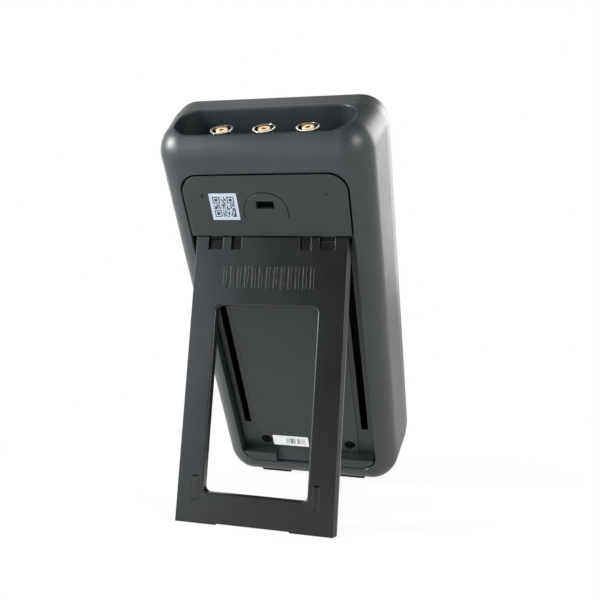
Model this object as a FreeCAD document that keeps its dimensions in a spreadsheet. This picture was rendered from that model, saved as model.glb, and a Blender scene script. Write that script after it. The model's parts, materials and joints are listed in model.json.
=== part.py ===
import FreeCAD, Part
import math
import os
from types import SimpleNamespace

import Sketcher
from FreeCAD import Placement, Rotation, Vector

# A handheld test meter that leans back on its kickstand, in millimetres.
# Each piece is drawn upright: x to the right seen from the front, y = 0 on the flat rear face with
# the front at minus y, z = 0 at the bottom end. The stance then leans every piece back on the floor.

SIZES = [
    ("case_width", 96.0, "case, side to side"),
    ("case_length", 197.0, "case, bottom end to top end"),
    ("case_depth", 40.0, "case, front face to rear face"),
    ("parting_depth", 28.6, "rear face to the seam of the two shells"),
    ("side_taper", 3.4, "each side draws in by this much towards the rear"),
    ("corner_front", 12.0, "corner radius of the outline at the seam and the front"),
    ("corner_rear", 13.0, "corner radius of the outline at the rear face"),
    ("rear_round", 12.5, "rounding of the rear edges at the sides and top"),
    ("bottom_round", 9.0, "rounding of the rear edge at the bottom"),
    ("front_round", 3.5, "rounding of the front edges"),
    ("wall", 2.2, "shell wall"),
    ("lean_angle", 35.8, "case leans back from upright"),
    ("open_angle", 42.6, "kickstand opens from the case"),
    ("foot_height", 2.2, "foot stands below the bottom end"),
    ("foot_contact", 6.2, "rear face to the line where a foot meets the floor"),
    ("foot_rear", 4.4, "rear face to the back of a foot"),
    ("foot_reach", 20.0, "foot, back to front"),
    ("foot_width", 16.5, "foot, at the case"),
    ("foot_sole", 14.0, "foot, at its sole"),
    ("foot_spread", 20.2, "middle of the case to the middle of a foot"),
    ("well_width", 76.0, "connector well, side to side"),
    ("well_rear", 5.0, "rear face to the connector well"),
    ("well_depth", 16.0, "connector well below the top end"),
    ("well_front", 2.8, "seam of the shells to the connector well"),
    ("well_corner", 8.8, "corner radius of the connector well"),
    ("seam", 0.8, "gap round the rear cover"),
    ("cover_width", 71.4, "rear cover, side to side, to the middle of the seam"),
    ("cover_low", 11.2, "bottom end to the cover's lower seam"),
    ("cover_drop", 18.2, "top end to the cover's upper seam"),
    ("cover_corner", 8.5, "corner radius of the cover"),
    ("cover_skin", 2.2, "cover's wall"),
    ("recess_depth", 4.4, "rear face to the floor of the stand's recess"),
    ("upper_long", 28.4, "cover's upper panel, from its seam to its lower edge"),
    ("ledge_height", 6.0, "ledge at the foot of the recess"),
    ("finger_width", 34.6, "finger scoop in the ledge"),
    ("finger_lip", 1.6, "rear face to the finger scoop at the cover's lower edge"),
    ("raised_width", 53.6, "middle of the recess floor between the lower side bands"),
    ("band_drop", 0.5, "side bands below the recess floor"),
    ("groove_spread", 31.1, "middle of the case to a side slot"),
    ("groove_width", 3.6, "side slot"),
    ("slot_room", 1.2, "opening in the bay behind a side slot, past it all round"),
    ("groove_low", 34.8, "bottom end to the foot of a side slot"),
    ("groove_drop", 16.4, "upper panel down to the head of a side slot"),
    ("lock_width", 7.7, "security slot, wide"),
    ("lock_height", 3.4, "security slot, high"),
    ("lock_rise", 14.6, "upper panel's lower edge to the security slot"),
    ("ring_radius", 9.7, "engraved ring round the security slot"),
    ("ring_line", 0.5, "line width and depth of the engraved ring"),
    ("ring_rise", 10.6, "upper panel's lower edge to the middle of the engraved ring"),
    ("ring_open", 2.2, "middle of the engraved ring down to where its line ends"),
    ("dimple_spread", 26.5, "middle of the case to a moulded dimple"),
    ("dimple_rise", 19.1, "upper panel's lower edge to the moulded dimples"),
    ("dimple_radius", 0.9, "moulded dimple, radius"),
    ("dimple_depth", 0.5, "moulded dimple, deep"),
    ("stand_width", 69.0, "kickstand, side to side"),
    ("stand_thick", 4.0, "kickstand, thickness"),
    ("stand_bevel", 1.0, "kickstand's outer edges draw in by this much"),
    ("stand_edge", 1.5, "kickstand's square edge below the bevel"),
    ("hinge_gap", 0.3, "kickstand's barrel to the cover"),
    ("window_width", 44.6, "kickstand's window, wide"),
    ("window_drop", 29.5, "hinge axis to the top of the window"),
    ("window_rail", 12.8, "rail below the window"),
    ("window_corner", 2.4, "corner radius of the window"),
    ("window_round", 0.7, "rounding of the window's outer edge"),
    ("arch_width", 31.4, "arch between the kickstand's two toes"),
    ("arch_height", 0.5, "arch above the floor"),
    ("ear_spread", 24.7, "middle of the case to a hinge ear"),
    ("ear_width", 6.0, "hinge ear"),
    ("ear_gap", 0.35, "hinge ear to its notch, each side"),
    ("ear_lip", 0.6, "hinge axis to the open mouth of an ear, narrower than the pin it snaps over"),
    ("relief_spread", 15.3, "middle of the case to a relief notch"),
    ("relief_width", 4.9, "relief notch"),
    ("notch_drop", 5.5, "hinge axis to the bottom of the notches"),
    ("pin_radius", 1.0, "hinge pin"),
    ("pin_inner", 18.2, "middle of the case to the inner end of a hinge pin"),
    ("pin_outer", 32.5, "middle of the case to the outer end of a hinge pin"),
    ("running_gap", 0.05, "round gap of a pin that turns"),
    ("slip", 0.02, "round gap of a piece that is fixed"),
    ("rib_count", 13, "grip ribs on the kickstand"),
    ("rib_pitch", 3.2, "grip ribs, one to the next"),
    ("rib_width", 1.5, "grip rib, wide"),
    ("rib_length", 9.4, "grip rib, long"),
    ("rib_height", 0.35, "grip rib, proud"),
    ("rib_drop", 17.4, "hinge axis to the middle of the grip ribs"),
    ("pad_spread", 25.9, "middle of the case to a pad on the kickstand's leg"),
    ("pad_width", 3.4, "leg pad, wide, at the kickstand's face"),
    ("pad_length", 10.4, "leg pad, long, at the kickstand's face"),
    ("pad_height", 0.7, "leg pad, proud"),
    ("pad_slope", 0.7, "leg pad's sides draw in by this much to its top"),
    ("pad_drop", 106.3, "hinge axis to the middle of the leg pads"),
    ("screw_spread", 22.5, "middle of the case to a cover screw"),
    ("screw_place", 23.3, "bottom end to the cover screws"),
    ("screw_head", 2.5, "cover screw's head, radius"),
    ("screw_head_high", 0.9, "cover screw's head, height"),
    ("screw_well", 3.0, "well round a cover screw's head, radius"),
    ("screw_sink", 2.4, "recess floor down to a cover screw's seat"),
    ("cup_wall", 1.0, "wall and floor of the cup that holds a cover screw"),
    ("screw_shank", 1.25, "cover screw's shank, radius"),
    ("screw_length", 6.2, "cover screw below its head"),
    ("cross_width", 0.6, "driver cross in a screw head, wide and deep"),
    ("cross_length", 3.0, "driver cross in a screw head, long"),
    ("boss_inset", 6.2, "cover's side seam to a case screw"),
    ("boss_low", 28.0, "bottom end to the lower case screws"),
    ("boss_drop", 8.8, "cover's upper seam down to the upper case screws"),
    ("boss_radius", 3.2, "case screw boss"),
    ("boss_shoulder", 4.2, "shoulder that carries the main board"),
    ("case_head", 2.7, "case screw's head, radius"),
    ("case_head_high", 2.0, "case screw's head, height"),
    ("case_shank", 1.5, "case screw's shank, radius"),
    ("case_bite", 5.0, "case screw past the seam of the shells"),
    ("label_width", 12.1, "square label, wide"),
    ("label_height", 12.4, "square label, high"),
    ("label_offset", 17.8, "middle of the case to the square label"),
    ("label_rise", 14.0, "upper panel's lower edge to the middle of the square label"),
    ("strip_width", 19.2, "strip label, wide"),
    ("strip_height", 6.8, "strip label, high"),
    ("strip_offset", 9.2, "middle of the case to the middle of the strip label"),
    ("strip_place", 23.2, "bottom end to the middle of the strip label"),
    ("paper", 0.12, "label stock"),
    ("jack_pitch", 18.4, "connector sockets, one to the next"),
    ("jack_depth", 14.5, "rear face to the connector axes"),
    ("jack_drop", 4.3, "top end to the connectors' rims"),
    ("jack_radius", 4.85, "connector barrel"),
    ("jack_bore", 4.05, "connector mouth"),
    ("jack_mouth", 8.7, "connector mouth, deep"),
    ("jack_flange", 7.0, "connector flange"),
    ("jack_flange_high", 2.0, "connector flange, height"),
    ("lug_radius", 1.0, "bayonet lug"),
    ("lug_reach", 5.7, "connector axis to the end of a lug"),
    ("lug_drop", 4.6, "connector rim to the lugs"),
    ("core_radius", 2.45, "connector's insulating core"),
    ("core_drop", 0.25, "rim to the core's face"),
    ("contact_radius", 1.1, "connector's centre contact"),
    ("contact_bore", 0.68, "bore of the centre contact"),
    ("contact_depth", 6.0, "bore of the centre contact, deep"),
    ("nut_radius", 6.3, "connector nut"),
    ("nut_high", 2.2, "connector nut, height"),
    ("board", 1.6, "circuit boards, thickness"),
    ("board_room", 5.1, "front wall to the main board"),
    ("board_margin", 2.8, "inner wall to the main board, each side"),
    ("board_low", 8.0, "bottom end to the main board"),
    ("board_clear", 1.0, "main board's top to the input board"),
    ("input_width", 56.0, "input board, wide"),
    ("input_reach", 14.0, "input board, front to back"),
    ("shield_width", 46.0, "screening can, wide"),
    ("shield_long", 36.0, "screening can, long"),
    ("shield_rise", 6.0, "middle of the display up to the middle of the can"),
    ("shield_deep", 3.4, "screening can off the board"),
    ("sheet_metal", 0.4, "sheet metal of can, contacts and clips"),
    ("glass_side", 11.0, "case side to the display window"),
    ("glass_height", 54.0, "display window, high"),
    ("glass_thick", 1.5, "display window"),
    ("glass_corner", 3.0, "corner radius of the window"),
    ("glass_drop", 61.0, "top end to the middle of the display"),
    ("fit_gap", 0.2, "flat gap of a fitted piece, each side"),
    ("view_side", 7.0, "window's side edge to the clear view"),
    ("view_end", 4.0, "window's upper or lower edge to the clear view"),
    ("panel_side", 4.5, "display panel past the clear view, each side"),
    ("panel_end", 2.0, "display panel past the clear view, above and below"),
    ("panel_thick", 2.8, "display panel"),
    ("frame_rim", 1.8, "display frame round the panel"),
    ("frame_step", 2.6, "step in the frame that carries the panel"),
    ("soft_width", 14.0, "soft key, wide"),
    ("soft_pitch", 18.0, "soft keys, one to the next"),
    ("soft_drop", 35.5, "middle of the display down to the soft keys"),
    ("mode_width", 18.0, "mode key, wide"),
    ("mode_pitch", 24.0, "mode keys, one to the next"),
    ("mode_drop", 11.5, "soft keys down to the upper mode keys"),
    ("mode_step", 10.0, "upper mode keys down to the lower ones"),
    ("bar_height", 6.0, "soft and mode keys, high"),
    ("arrow_length", 10.0, "arrow key, along its side of the cross"),
    ("arrow_width", 7.0, "arrow key, across its side of the cross"),
    ("arrow_rise", 11.0, "middle of the cross to the upper and lower arrow keys"),
    ("arrow_side", 13.0, "middle of the cross to the left and right arrow keys"),
    ("cross_drop", 21.0, "lower mode keys down to the middle of the cross of keys"),
    ("enter_width", 8.4, "enter key, across"),
    ("round_width", 8.0, "power and hold keys, across"),
    ("round_inset", 18.0, "case side to the power and hold keys"),
    ("key_proud", 1.0, "keys stand out of the front face"),
    ("key_travel", 0.8, "keys travel"),
    ("key_gap", 0.3, "key to its hole, each side, and to the wall behind"),
    ("key_lip", 1.0, "lip that keeps a key in"),
    ("key_lip_thick", 1.1, "lip of a key"),
    ("key_corner", 1.4, "corner radius of the keys"),
    ("key_round", 0.6, "rounding of a key's front edge"),
    ("mat_thick", 1.2, "rubber key mat"),
    ("mat_below", 2.4, "middle of the lowest key down to the edge of the mat"),
    ("mat_above", 5.5, "middle of the soft keys up to the edge of the mat"),
    ("mat_side", 9.0, "case side to the key mat"),
    ("dome_radius", 2.1, "rubber dome under a key"),
    ("socket_side", 19.5, "case side to the outer test-lead sockets"),
    ("socket_place", 16.0, "bottom end to the test-lead sockets"),
    ("socket_bore", 2.0, "test-lead socket, bore radius"),
    ("socket_tube", 3.0, "test-lead socket, outer radius"),
    ("socket_length", 20.0, "test-lead socket, long"),
    ("socket_inset", 0.6, "collar's face to the socket's mouth"),
    ("collar_radius", 5.6, "socket collar"),
    ("collar_flange", 6.6, "socket collar's flange"),
    ("collar_proud", 1.2, "socket collar out of the front face"),
    ("cell_radius", 9.2, "battery cell"),
    ("cell_length", 65.0, "battery cell, long"),
    ("cell_low", 44.0, "bottom end to the cells"),
    ("cell_gap", 0.3, "round gap of a cell"),
    ("cap_radius", 3.0, "battery cell's end cap"),
    ("cap_high", 0.8, "battery cell's end cap, proud"),
    ("contact_high", 9.0, "battery contact plate, high"),
    ("tub_wall", 1.4, "battery tub's wall"),
    ("spring_room", 3.0, "room for a battery contact at each end"),
    ("fuse_radius", 2.5, "fuse"),
    ("fuse_length", 20.0, "fuse, long"),
    ("fuse_low", 52.0, "bottom end to the fuses"),
    ("fuse_inset", 15.0, "case side to a fuse"),
    ("fuse_lift", 0.7, "fuse above the board"),
    ("clip_width", 6.4, "fuse clip, wide"),
    ("clip_length", 3.6, "fuse clip, long"),
    ("buzzer_radius", 6.0, "buzzer"),
    ("buzzer_high", 4.5, "buzzer, height"),
    ("buzzer_place", 100.0, "bottom end to the buzzer"),
    ("port_width", 9.0, "charging port, wide"),
    ("port_high", 3.2, "charging port, high"),
    ("port_long", 7.3, "charging port, long"),
    ("port_clear", 1.0, "display frame up to the charging port"),
    ("port_inset", 0.8, "case side to the port's mouth"),
]


class Dim:
    """A size: its number, and the formula on the sheet that gives it."""

    def __init__(self, value, text=None):
        self.value = float(value)
        self.text = text or repr(float(value))

    def __add__(self, other):
        other = dim(other)
        return Dim(self.value + other.value, f"({self.text} + {other.text})")

    def __sub__(self, other):
        other = dim(other)
        return Dim(self.value - other.value, f"({self.text} - {other.text})")

    def __mul__(self, other):
        other = dim(other)
        return Dim(self.value * other.value, f"({self.text} * {other.text})")

    def __truediv__(self, other):
        other = dim(other)
        return Dim(self.value / other.value, f"({self.text} / {other.text})")

    def __radd__(self, other):
        return dim(other) + self

    def __rsub__(self, other):
        return dim(other) - self

    def __rmul__(self, other):
        return dim(other) * self

    def __neg__(self):
        return dim(0) - self


def dim(value):
    return value if isinstance(value, Dim) else Dim(value)


doc = FreeCAD.newDocument("test_meter")
sheet = doc.addObject("Spreadsheet::Sheet", "sizes")
for row, (name, value, meaning) in enumerate(SIZES, start=1):
    sheet.set(f"A{row}", meaning)
    sheet.set(f"B{row}", str(value))
    sheet.setAlias(f"B{row}", name)
doc.recompute()
d = SimpleNamespace(**{name: Dim(sheet.get(name), f"sizes.{name}") for name, value, meaning in SIZES})

nodes = []
ABOVE = 1.0    # cutters run this far past the face they open
TINY = 1e-6    # points this near a face lie on it
TURN = {"x": Rotation(Vector(0, 1, 0), 90), "y": Rotation(Vector(1, 0, 0), -90), "z": Rotation()}
FACE = {"x": Rotation(Vector(1, 1, 1), 120), "y": Rotation(Vector(1, 0, 0), 90), "z": Rotation()}
WAY = {"x": Vector(1, 0, 0), "y": Vector(0, 1, 0), "z": Vector(0, 0, 1)}
ACROSS = {"x": ("y", "z"), "y": ("x", "z"), "z": ("x", "y")}


def bind(thing, prop, size):
    thing.setExpression(prop, dim(size).text)


def move(thing, spot):
    for axis in "xyz":
        bind(thing, f"Placement.Base.{axis}", spot[axis])


def block(name, x, y, z):
    """A box between a low and a high value on each axis."""
    box = doc.addObject("Part::Box", name)
    for prop, (low, high) in (("Length", x), ("Width", y), ("Height", z)):
        bind(box, prop, dim(high) - low)
    move(box, {"x": x[0], "y": y[0], "z": z[0]})
    return box


def rod(name, along, radius, span, **middle):
    """A cylinder along an axis, with its middle given on the other two."""
    cylinder = doc.addObject("Part::Cylinder", name)
    cylinder.Placement = Placement(Vector(), TURN[along])
    bind(cylinder, "Radius", radius)
    bind(cylinder, "Height", dim(span[1]) - span[0])
    move(cylinder, {**middle, along: span[0]})
    return cylinder


def wedge(name, x, y, z, far_x, far_z):
    """A block whose sides draw in to far_x and far_z at its high y."""
    body = doc.addObject("Part::Wedge", name)
    for axis, (low, high) in (("X", x), ("Y", y), ("Z", z), ("X2", far_x), ("Z2", far_z)):
        bind(body, f"{axis}min", low)
        bind(body, f"{axis}max", high)
    return body


def outline(name, along, first, second, radius, level):
    """A rectangle with round corners, square to an axis, drawn about its own middle."""
    wide = dim(first[1]) - first[0]
    high = dim(second[1]) - second[0]
    radius = dim(radius)
    half_w, half_h, r = wide.value / 2, high.value / 2, radius.value
    sketch = doc.addObject("Sketcher::SketchObject", name)
    sketch.Placement = Placement(Vector(), FACE[along])
    sides = [((r - half_w, -half_h), (half_w - r, -half_h)), ((half_w, r - half_h), (half_w, half_h - r)),
             ((half_w - r, half_h), (r - half_w, half_h)), ((-half_w, half_h - r), (-half_w, r - half_h))]
    corners = [(half_w - r, r - half_h), (half_w - r, half_h - r), (r - half_w, half_h - r),
               (r - half_w, r - half_h)]
    up = Vector(0, 0, 1)
    for side, ((start, end), middle) in enumerate(zip(sides, corners)):
        sketch.addGeometry(Part.LineSegment(Vector(*start, 0), Vector(*end, 0)))
        circle = Part.Circle(Vector(*middle, 0), up, r)
        sketch.addGeometry(Part.ArcOfCircle(circle, (side - 1) * math.pi / 2, side * math.pi / 2))
    for side in range(4):
        line, arc, after = 2 * side, 2 * side + 1, (2 * side + 2) % 8
        sketch.addConstraint(Sketcher.Constraint("Tangent", line, 2, arc, 1))
        sketch.addConstraint(Sketcher.Constraint("Tangent", arc, 2, after, 1))
        sketch.addConstraint(Sketcher.Constraint("Vertical" if side % 2 else "Horizontal", line))
        if side:
            sketch.addConstraint(Sketcher.Constraint("Equal", 1, arc))
    sketch.addConstraint(Sketcher.Constraint("Symmetric", 0, 1, 4, 1, -1, 1))
    for label, constraint, size in (("wide", Sketcher.Constraint("DistanceX", 6, 1, 2, 1, wide.value),
                                     wide),
                                    ("high", Sketcher.Constraint("DistanceY", 0, 1, 4, 1, high.value),
                                     high),
                                    ("corner", Sketcher.Constraint("Radius", 1, r), radius)):
        index = sketch.addConstraint(constraint)
        sketch.renameConstraint(index, label)
        bind(sketch, f"Constraints.{label}", size)
    across = ACROSS[along]
    move(sketch, {across[0]: (dim(first[0]) + first[1]) / 2, across[1]: (dim(second[0]) + second[1]) / 2,
                  along: level})
    return sketch


def plate(name, along, first, second, span, radius):
    """A plate with round corners: its outline pushed along an axis."""
    body = doc.addObject("Part::Extrusion", name)
    body.Base = outline(f"{name}_outline", along, first, second, radius, span[0])
    body.DirMode = "Custom"
    body.Dir = WAY[along]
    bind(body, "LengthFwd", dim(span[1]) - span[0])
    body.Solid = True
    return body


def join(name, *pieces):
    body = doc.addObject("Part::MultiFuse", name)
    body.Shapes = list(pieces)
    body.Refine = True
    return body


def cut(name, base, *tools):
    body = doc.addObject("Part::Cut", name)
    body.Base = base
    body.Tool = tools[0] if len(tools) == 1 else join(f"{name}_tools", *tools)
    body.Refine = True
    return body


def overlap(name, first, second):
    body = doc.addObject("Part::Common", name)
    body.Base = first
    body.Tool = second
    return body


def rounded(name, base, radius, wanted):
    """A piece with a rounding on each edge whose corner points are all wanted."""
    doc.recompute()
    body = doc.addObject("Part::Fillet", name)
    body.Base = base
    body.Edges = [(index, radius.value, radius.value)
                  for index, edge in enumerate(base.Shape.Edges, start=1)
                  if all(wanted(vertex.Point) for vertex in edge.Vertexes)]
    return body


def group(name, *pieces):
    body = doc.addObject("Part::Compound", name)
    body.Links = list(pieces)
    return body


def node(piece, placement):
    """Names a finished piece as a node and stands it in its place."""
    piece.Label = piece.Name
    piece.Placement = placement
    nodes.append(piece)


def both(size):
    """A span that lies evenly about the middle of the case."""
    return (-size / 2, size / 2)


def about(middle, size):
    return (middle - size / 2, middle + size / 2)


# Stance. The floor passes through the line where the feet meet it, and the origin is on the floor
# below the middle of the case's reach, from its lower front edge to its upper rear edge.
lean = math.radians(d.lean_angle.value)
sin_lean, cos_lean = math.sin(lean), math.cos(lean)
rear_reach = (d.rear_round - d.rear_round * cos_lean + (d.case_length - d.rear_round) * sin_lean).value
front_reach = (-d.front_round - (d.case_depth - d.front_round) * cos_lean + d.front_round * sin_lean).value
lift = (d.foot_height * cos_lean - d.foot_contact * sin_lean).value
stance = Placement(Vector(0, -(rear_reach + front_reach) / 2, lift),
                   Rotation(Vector(1, 0, 0), -d.lean_angle.value))

# The cover's upper panel ends at the hinge line, with the kickstand's hinge axis just below it, and
# the stance of the kickstand when it is open.
length = d.case_length
cover_high = length - d.cover_drop
hinge_line = cover_high - d.upper_long
barrel = d.stand_thick / 2
axis_y = -(d.recess_depth - d.hinge_gap - barrel)
axis_z = hinge_line - d.hinge_gap - barrel
axis = Vector(0, axis_y.value, axis_z.value)
opened = Placement(axis, Rotation(Vector(1, 0, 0), d.open_angle.value)) * Placement(-axis, Rotation())
stand_stance = stance * opened

half = d.case_width / 2
rear_half = half - d.side_taper
seam_y = -d.parting_depth
front_y = -d.case_depth


def rear_form(name, inset):
    """The rear half of the case as a solid, drawn in by an inset: tapered sides, rounded rear edges."""
    inset = dim(inset)
    ends = (inset, length - inset)
    wide = outline(f"{name}_seam", "y", (inset - half, half - inset), ends, d.corner_front - inset, seam_y)
    narrow = outline(f"{name}_rear", "y", (inset - rear_half, rear_half - inset), ends,
                     d.corner_rear - inset, -inset)
    body = doc.addObject("Part::Loft", f"{name}_blank")
    body.Sections = [wide, narrow]
    body.Solid = True
    body.Ruled = True
    doc.recompute()
    side, bottom = (d.rear_round - inset).value, (d.bottom_round - inset).value
    edges = []
    for index, edge in enumerate(body.Shape.Edges, start=1):
        ends_here = [edge.valueAt(edge.FirstParameter), edge.valueAt(edge.LastParameter)]
        if any(abs(point.y + inset.value) > TINY for point in ends_here):
            continue
        on_bottom = [abs(point.z - inset.value) < TINY for point in ends_here]
        edges.append((index, *(bottom if low else side for low in on_bottom)))
    form = doc.addObject("Part::Fillet", name)
    form.Base = body
    form.Edges = edges
    return form


def screw(name, x, z, top, head, head_high, shank, bottom):
    """A pan-head screw driven along y from the rear, with a driver cross."""
    head_rod = rod(f"{name}_head", "y", head, (top - head_high, top), x=x, z=z)
    shank_rod = rod(f"{name}_shank", "y", shank, (bottom, top - head_high), x=x, z=z)
    slot_y = (top - d.cross_width, top + ABOVE)
    upright = block(f"{name}_cross_up", about(x, d.cross_width), slot_y, about(z, d.cross_length))
    level = block(f"{name}_cross_side", about(x, d.cross_length), slot_y, about(z, d.cross_width))
    return cut(name, join(f"{name}_blank", head_rod, shank_rod), upright, level)


# Rear shell: the rounded back of the case, with the bay for the cover, the battery tub and two vent
# openings in it, the connector well at the top end and the bosses for all screws.
case_rear = rear_form("case_rear", 0)
case_hollow = rear_form("case_hollow", d.wall)
well_floor = length - d.well_depth
bay_y = -(d.recess_depth + d.cover_skin)
bay_back = bay_y - d.wall
tub_half = 2 * d.cell_radius + 3 * d.cell_gap / 2
tub_x = (-tub_half, tub_half)
tub_z = (d.cell_low - d.spring_room, d.cell_low + d.cell_length + d.spring_room)
cell_y = bay_y - d.cell_gap - d.cell_radius
tub_y = cell_y - d.cell_radius - d.cell_gap
boss_x = d.cover_width / 2 - d.boss_inset
bosses = [(f"{side}_{end}", x, z) for side, x in (("left", -boss_x), ("right", boss_x))
          for end, z in (("low", d.boss_low), ("high", cover_high - d.boss_drop))]
cover_screws = [("left", -d.screw_spread), ("right", d.screw_spread)]
screw_seat = -d.recess_depth - d.screw_sink
screw_end = screw_seat - d.screw_length
cup_radius = d.screw_well + d.cup_wall
cup_end = screw_seat - d.cup_wall
jacks = [(index, (index - 2) * d.jack_pitch) for index in (1, 2, 3)]
jack_y = -d.jack_depth
shank_z = well_floor - d.wall - d.nut_high
input_z = (shank_z - d.board, shank_z)

kept = [block("bay_block", both(d.cover_width + d.seam + 2 * d.wall), (bay_back, ABOVE),
              (d.cover_low - d.seam - d.wall, cover_high + d.seam + d.wall)),
        block("tub_block", (-tub_half - d.tub_wall, tub_half + d.tub_wall), (tub_y - d.tub_wall, bay_y),
              (tub_z[0] - d.tub_wall, tub_z[1] + d.tub_wall))]
for label, x, z in bosses:
    kept.append(rod(f"rear_boss_{label}", "y", d.boss_radius, (seam_y, bay_y), x=x, z=z))
for label, x in cover_screws:
    kept.append(rod(f"cover_boss_{label}", "y", cup_radius + d.fit_gap + d.tub_wall,
                    (screw_end - d.wall, bay_y), x=x, z=d.screw_place))
room = overlap("rear_room_blank", case_hollow,
               block("rear_room_end", both(d.case_width), (seam_y - ABOVE, 0), (0, well_floor - d.wall)))
room = cut("rear_room", room, *kept)
bay = plate("bay_opening", "y", both(d.cover_width + d.seam),
            (d.cover_low - d.seam / 2, cover_high + d.seam / 2), (bay_y, ABOVE), d.cover_corner)
tub = block("tub_opening", tub_x, (tub_y, bay_y + ABOVE), tub_z)
vents = [block(f"bay_slot_{label}", about(side * d.groove_spread, d.groove_width + 2 * d.slot_room),
               (bay_back - ABOVE, bay_y + ABOVE),
               (d.groove_low - d.slot_room, hinge_line - d.groove_drop + d.slot_room))
         for label, side in (("left", -1), ("right", 1))]
well = plate("well_opening", "z", both(d.well_width), (seam_y + d.well_front, -d.well_rear),
             (well_floor, length + ABOVE), d.well_corner)
holes = []
cup_holes = []
for index, x in jacks:
    holes.append(rod(f"jack_hole_{index}", "z", d.jack_radius + d.slip,
                     (well_floor - d.wall - ABOVE, well_floor + ABOVE), x=x, y=jack_y))
for label, x, z in bosses:
    holes.append(rod(f"case_shank_hole_{label}", "y", d.case_shank + d.running_gap,
                     (seam_y - ABOVE, bay_y), x=x, z=z))
    holes.append(rod(f"case_head_hole_{label}", "y", d.case_head + d.running_gap,
                     (bay_y - d.case_head_high, bay_y + ABOVE), x=x, z=z))
for label, x in cover_screws:
    holes.append(rod(f"cover_pilot_{label}", "y", d.screw_shank + d.slip, (screw_end, bay_y + ABOVE), x=x,
                     z=d.screw_place))
    cup_holes.append(rod(f"cup_pocket_{label}", "y", cup_radius + d.fit_gap, (cup_end, bay_y + ABOVE), x=x,
                         z=d.screw_place))
hollow_rear = cut("rear_hollow", case_rear, room)
opened_rear = cut("rear_opened", hollow_rear, bay, tub, well, *vents, *cup_holes)
rear_shell = cut("rear_shell", opened_rear, group("rear_holes", *holes))
node(rear_shell, stance)

# Front shell: the shallow front half with the display window, key holes, socket holes and posts.
front_wall = front_y + d.wall
board_front = front_wall + d.board_room
board_y = board_front + d.board
inside_x = both(d.case_width - 2 * d.wall)
room_corner = d.corner_front - d.wall
front_blank = plate("front_blank", "y", both(d.case_width), (0, length), (front_y, seam_y), d.corner_front)
case_front = rounded("case_front", front_blank, d.front_round, lambda point: point.y < front_y.value + TINY)
front_room = plate("front_room", "y", inside_x, (d.wall, length - d.wall), (front_wall, seam_y + ABOVE),
                   room_corner)
posts = []
for label, x, z in bosses:
    posts.append(rod(f"front_boss_{label}", "y", d.boss_radius, (front_wall - ABOVE, seam_y), x=x, z=z))
    posts.append(rod(f"front_shoulder_{label}", "y", d.boss_shoulder, (front_wall - ABOVE, board_front),
                     x=x, z=z))
front_hollow = cut("front_hollow", case_front, cut("front_room_kept", front_room, *posts))

# Keys, each with its own hole: name, middle across, middle up, width and height. Round keys give
# no height.
middle = dim(0)
glass_z = length - d.glass_drop
soft_z = glass_z - d.soft_drop
mode_z = soft_z - d.mode_drop
cross_z = mode_z - d.mode_step - d.cross_drop
round_x = half - d.round_inset
soft_keys = [(f"soft_key_{index}", (index - 2.5) * d.soft_pitch, soft_z, d.soft_width, d.bar_height)
             for index in (1, 2, 3, 4)]
mode_keys = [(f"mode_key_{3 * line + index}", (index - 2) * d.mode_pitch, mode_z - line * d.mode_step,
              d.mode_width, d.bar_height) for line in (0, 1) for index in (1, 2, 3)]
arrow_keys = [("arrow_key_up", middle, cross_z + d.arrow_rise, d.arrow_length, d.arrow_width),
              ("arrow_key_down", middle, cross_z - d.arrow_rise, d.arrow_length, d.arrow_width),
              ("arrow_key_left", -d.arrow_side, cross_z, d.arrow_width, d.arrow_length),
              ("arrow_key_right", d.arrow_side, cross_z, d.arrow_width, d.arrow_length)]
round_keys = [("enter_key", middle, cross_z, d.enter_width),
              ("power_key", -round_x, cross_z, d.round_width),
              ("hold_key", round_x, cross_z, d.round_width)]
square_keys = soft_keys + mode_keys + arrow_keys
key_front = front_y - d.key_proud
lip_front = front_wall + d.key_gap
lip_back = lip_front + d.key_lip_thick
dome_top = lip_back + d.key_travel + d.key_gap
wall_span = (front_y - ABOVE, front_wall + ABOVE)

glass_wide = d.case_width - 2 * d.glass_side
view_wide, view_high = glass_wide - 2 * d.view_side, d.glass_height - 2 * d.view_end
panel_wide, panel_high = view_wide + 2 * d.panel_side, view_high + 2 * d.panel_end
frame_room = 2 * d.frame_rim + 2 * d.fit_gap
frame_x, frame_z = both(panel_wide + frame_room), about(glass_z, panel_high + frame_room)

front_holes = [
    plate("glass_pocket", "y", both(glass_wide + 2 * d.fit_gap),
          about(glass_z, d.glass_height + 2 * d.fit_gap),
          (front_y - ABOVE, front_y + d.glass_thick), d.glass_corner + d.fit_gap),
    block("view_hole", both(view_wide), wall_span, about(glass_z, view_high))]
for name, x, z, wide, high in square_keys:
    front_holes.append(plate(f"{name}_hole", "y", about(x, wide + 2 * d.key_gap),
                             about(z, high + 2 * d.key_gap),
                             wall_span, d.key_corner + d.key_gap))
for name, x, z, wide in round_keys:
    front_holes.append(rod(f"{name}_hole", "y", wide / 2 + d.key_gap, wall_span, x=x, z=z))
socket_pitch = 2 * (half - d.socket_side) / 3
sockets = [(index, (index - 2.5) * socket_pitch) for index in (1, 2, 3, 4)]
for index, x in sockets:
    front_holes.append(rod(f"socket_hole_{index}", "y", d.collar_radius + d.slip, wall_span, x=x,
                           z=d.socket_place))
for label, x, z in bosses:
    front_holes.append(rod(f"case_pilot_{label}", "y", d.case_shank + d.slip,
                           (seam_y - d.case_bite, seam_y + ABOVE), x=x, z=z))
port_y = (board_front - d.port_high, board_front)
port_low = frame_z[1] + d.port_clear
port_z = (port_low, port_low + d.port_width)
front_holes.append(block("port_hole", (half - d.wall - ABOVE, half + ABOVE),
                         (port_y[0] - d.fit_gap, port_y[1] + d.fit_gap),
                         (port_z[0] - d.fit_gap, port_z[1] + d.fit_gap)))
pocket, others = front_holes[0], front_holes[1:]
front_pocketed = cut("front_pocketed", front_hollow, pocket)
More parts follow.
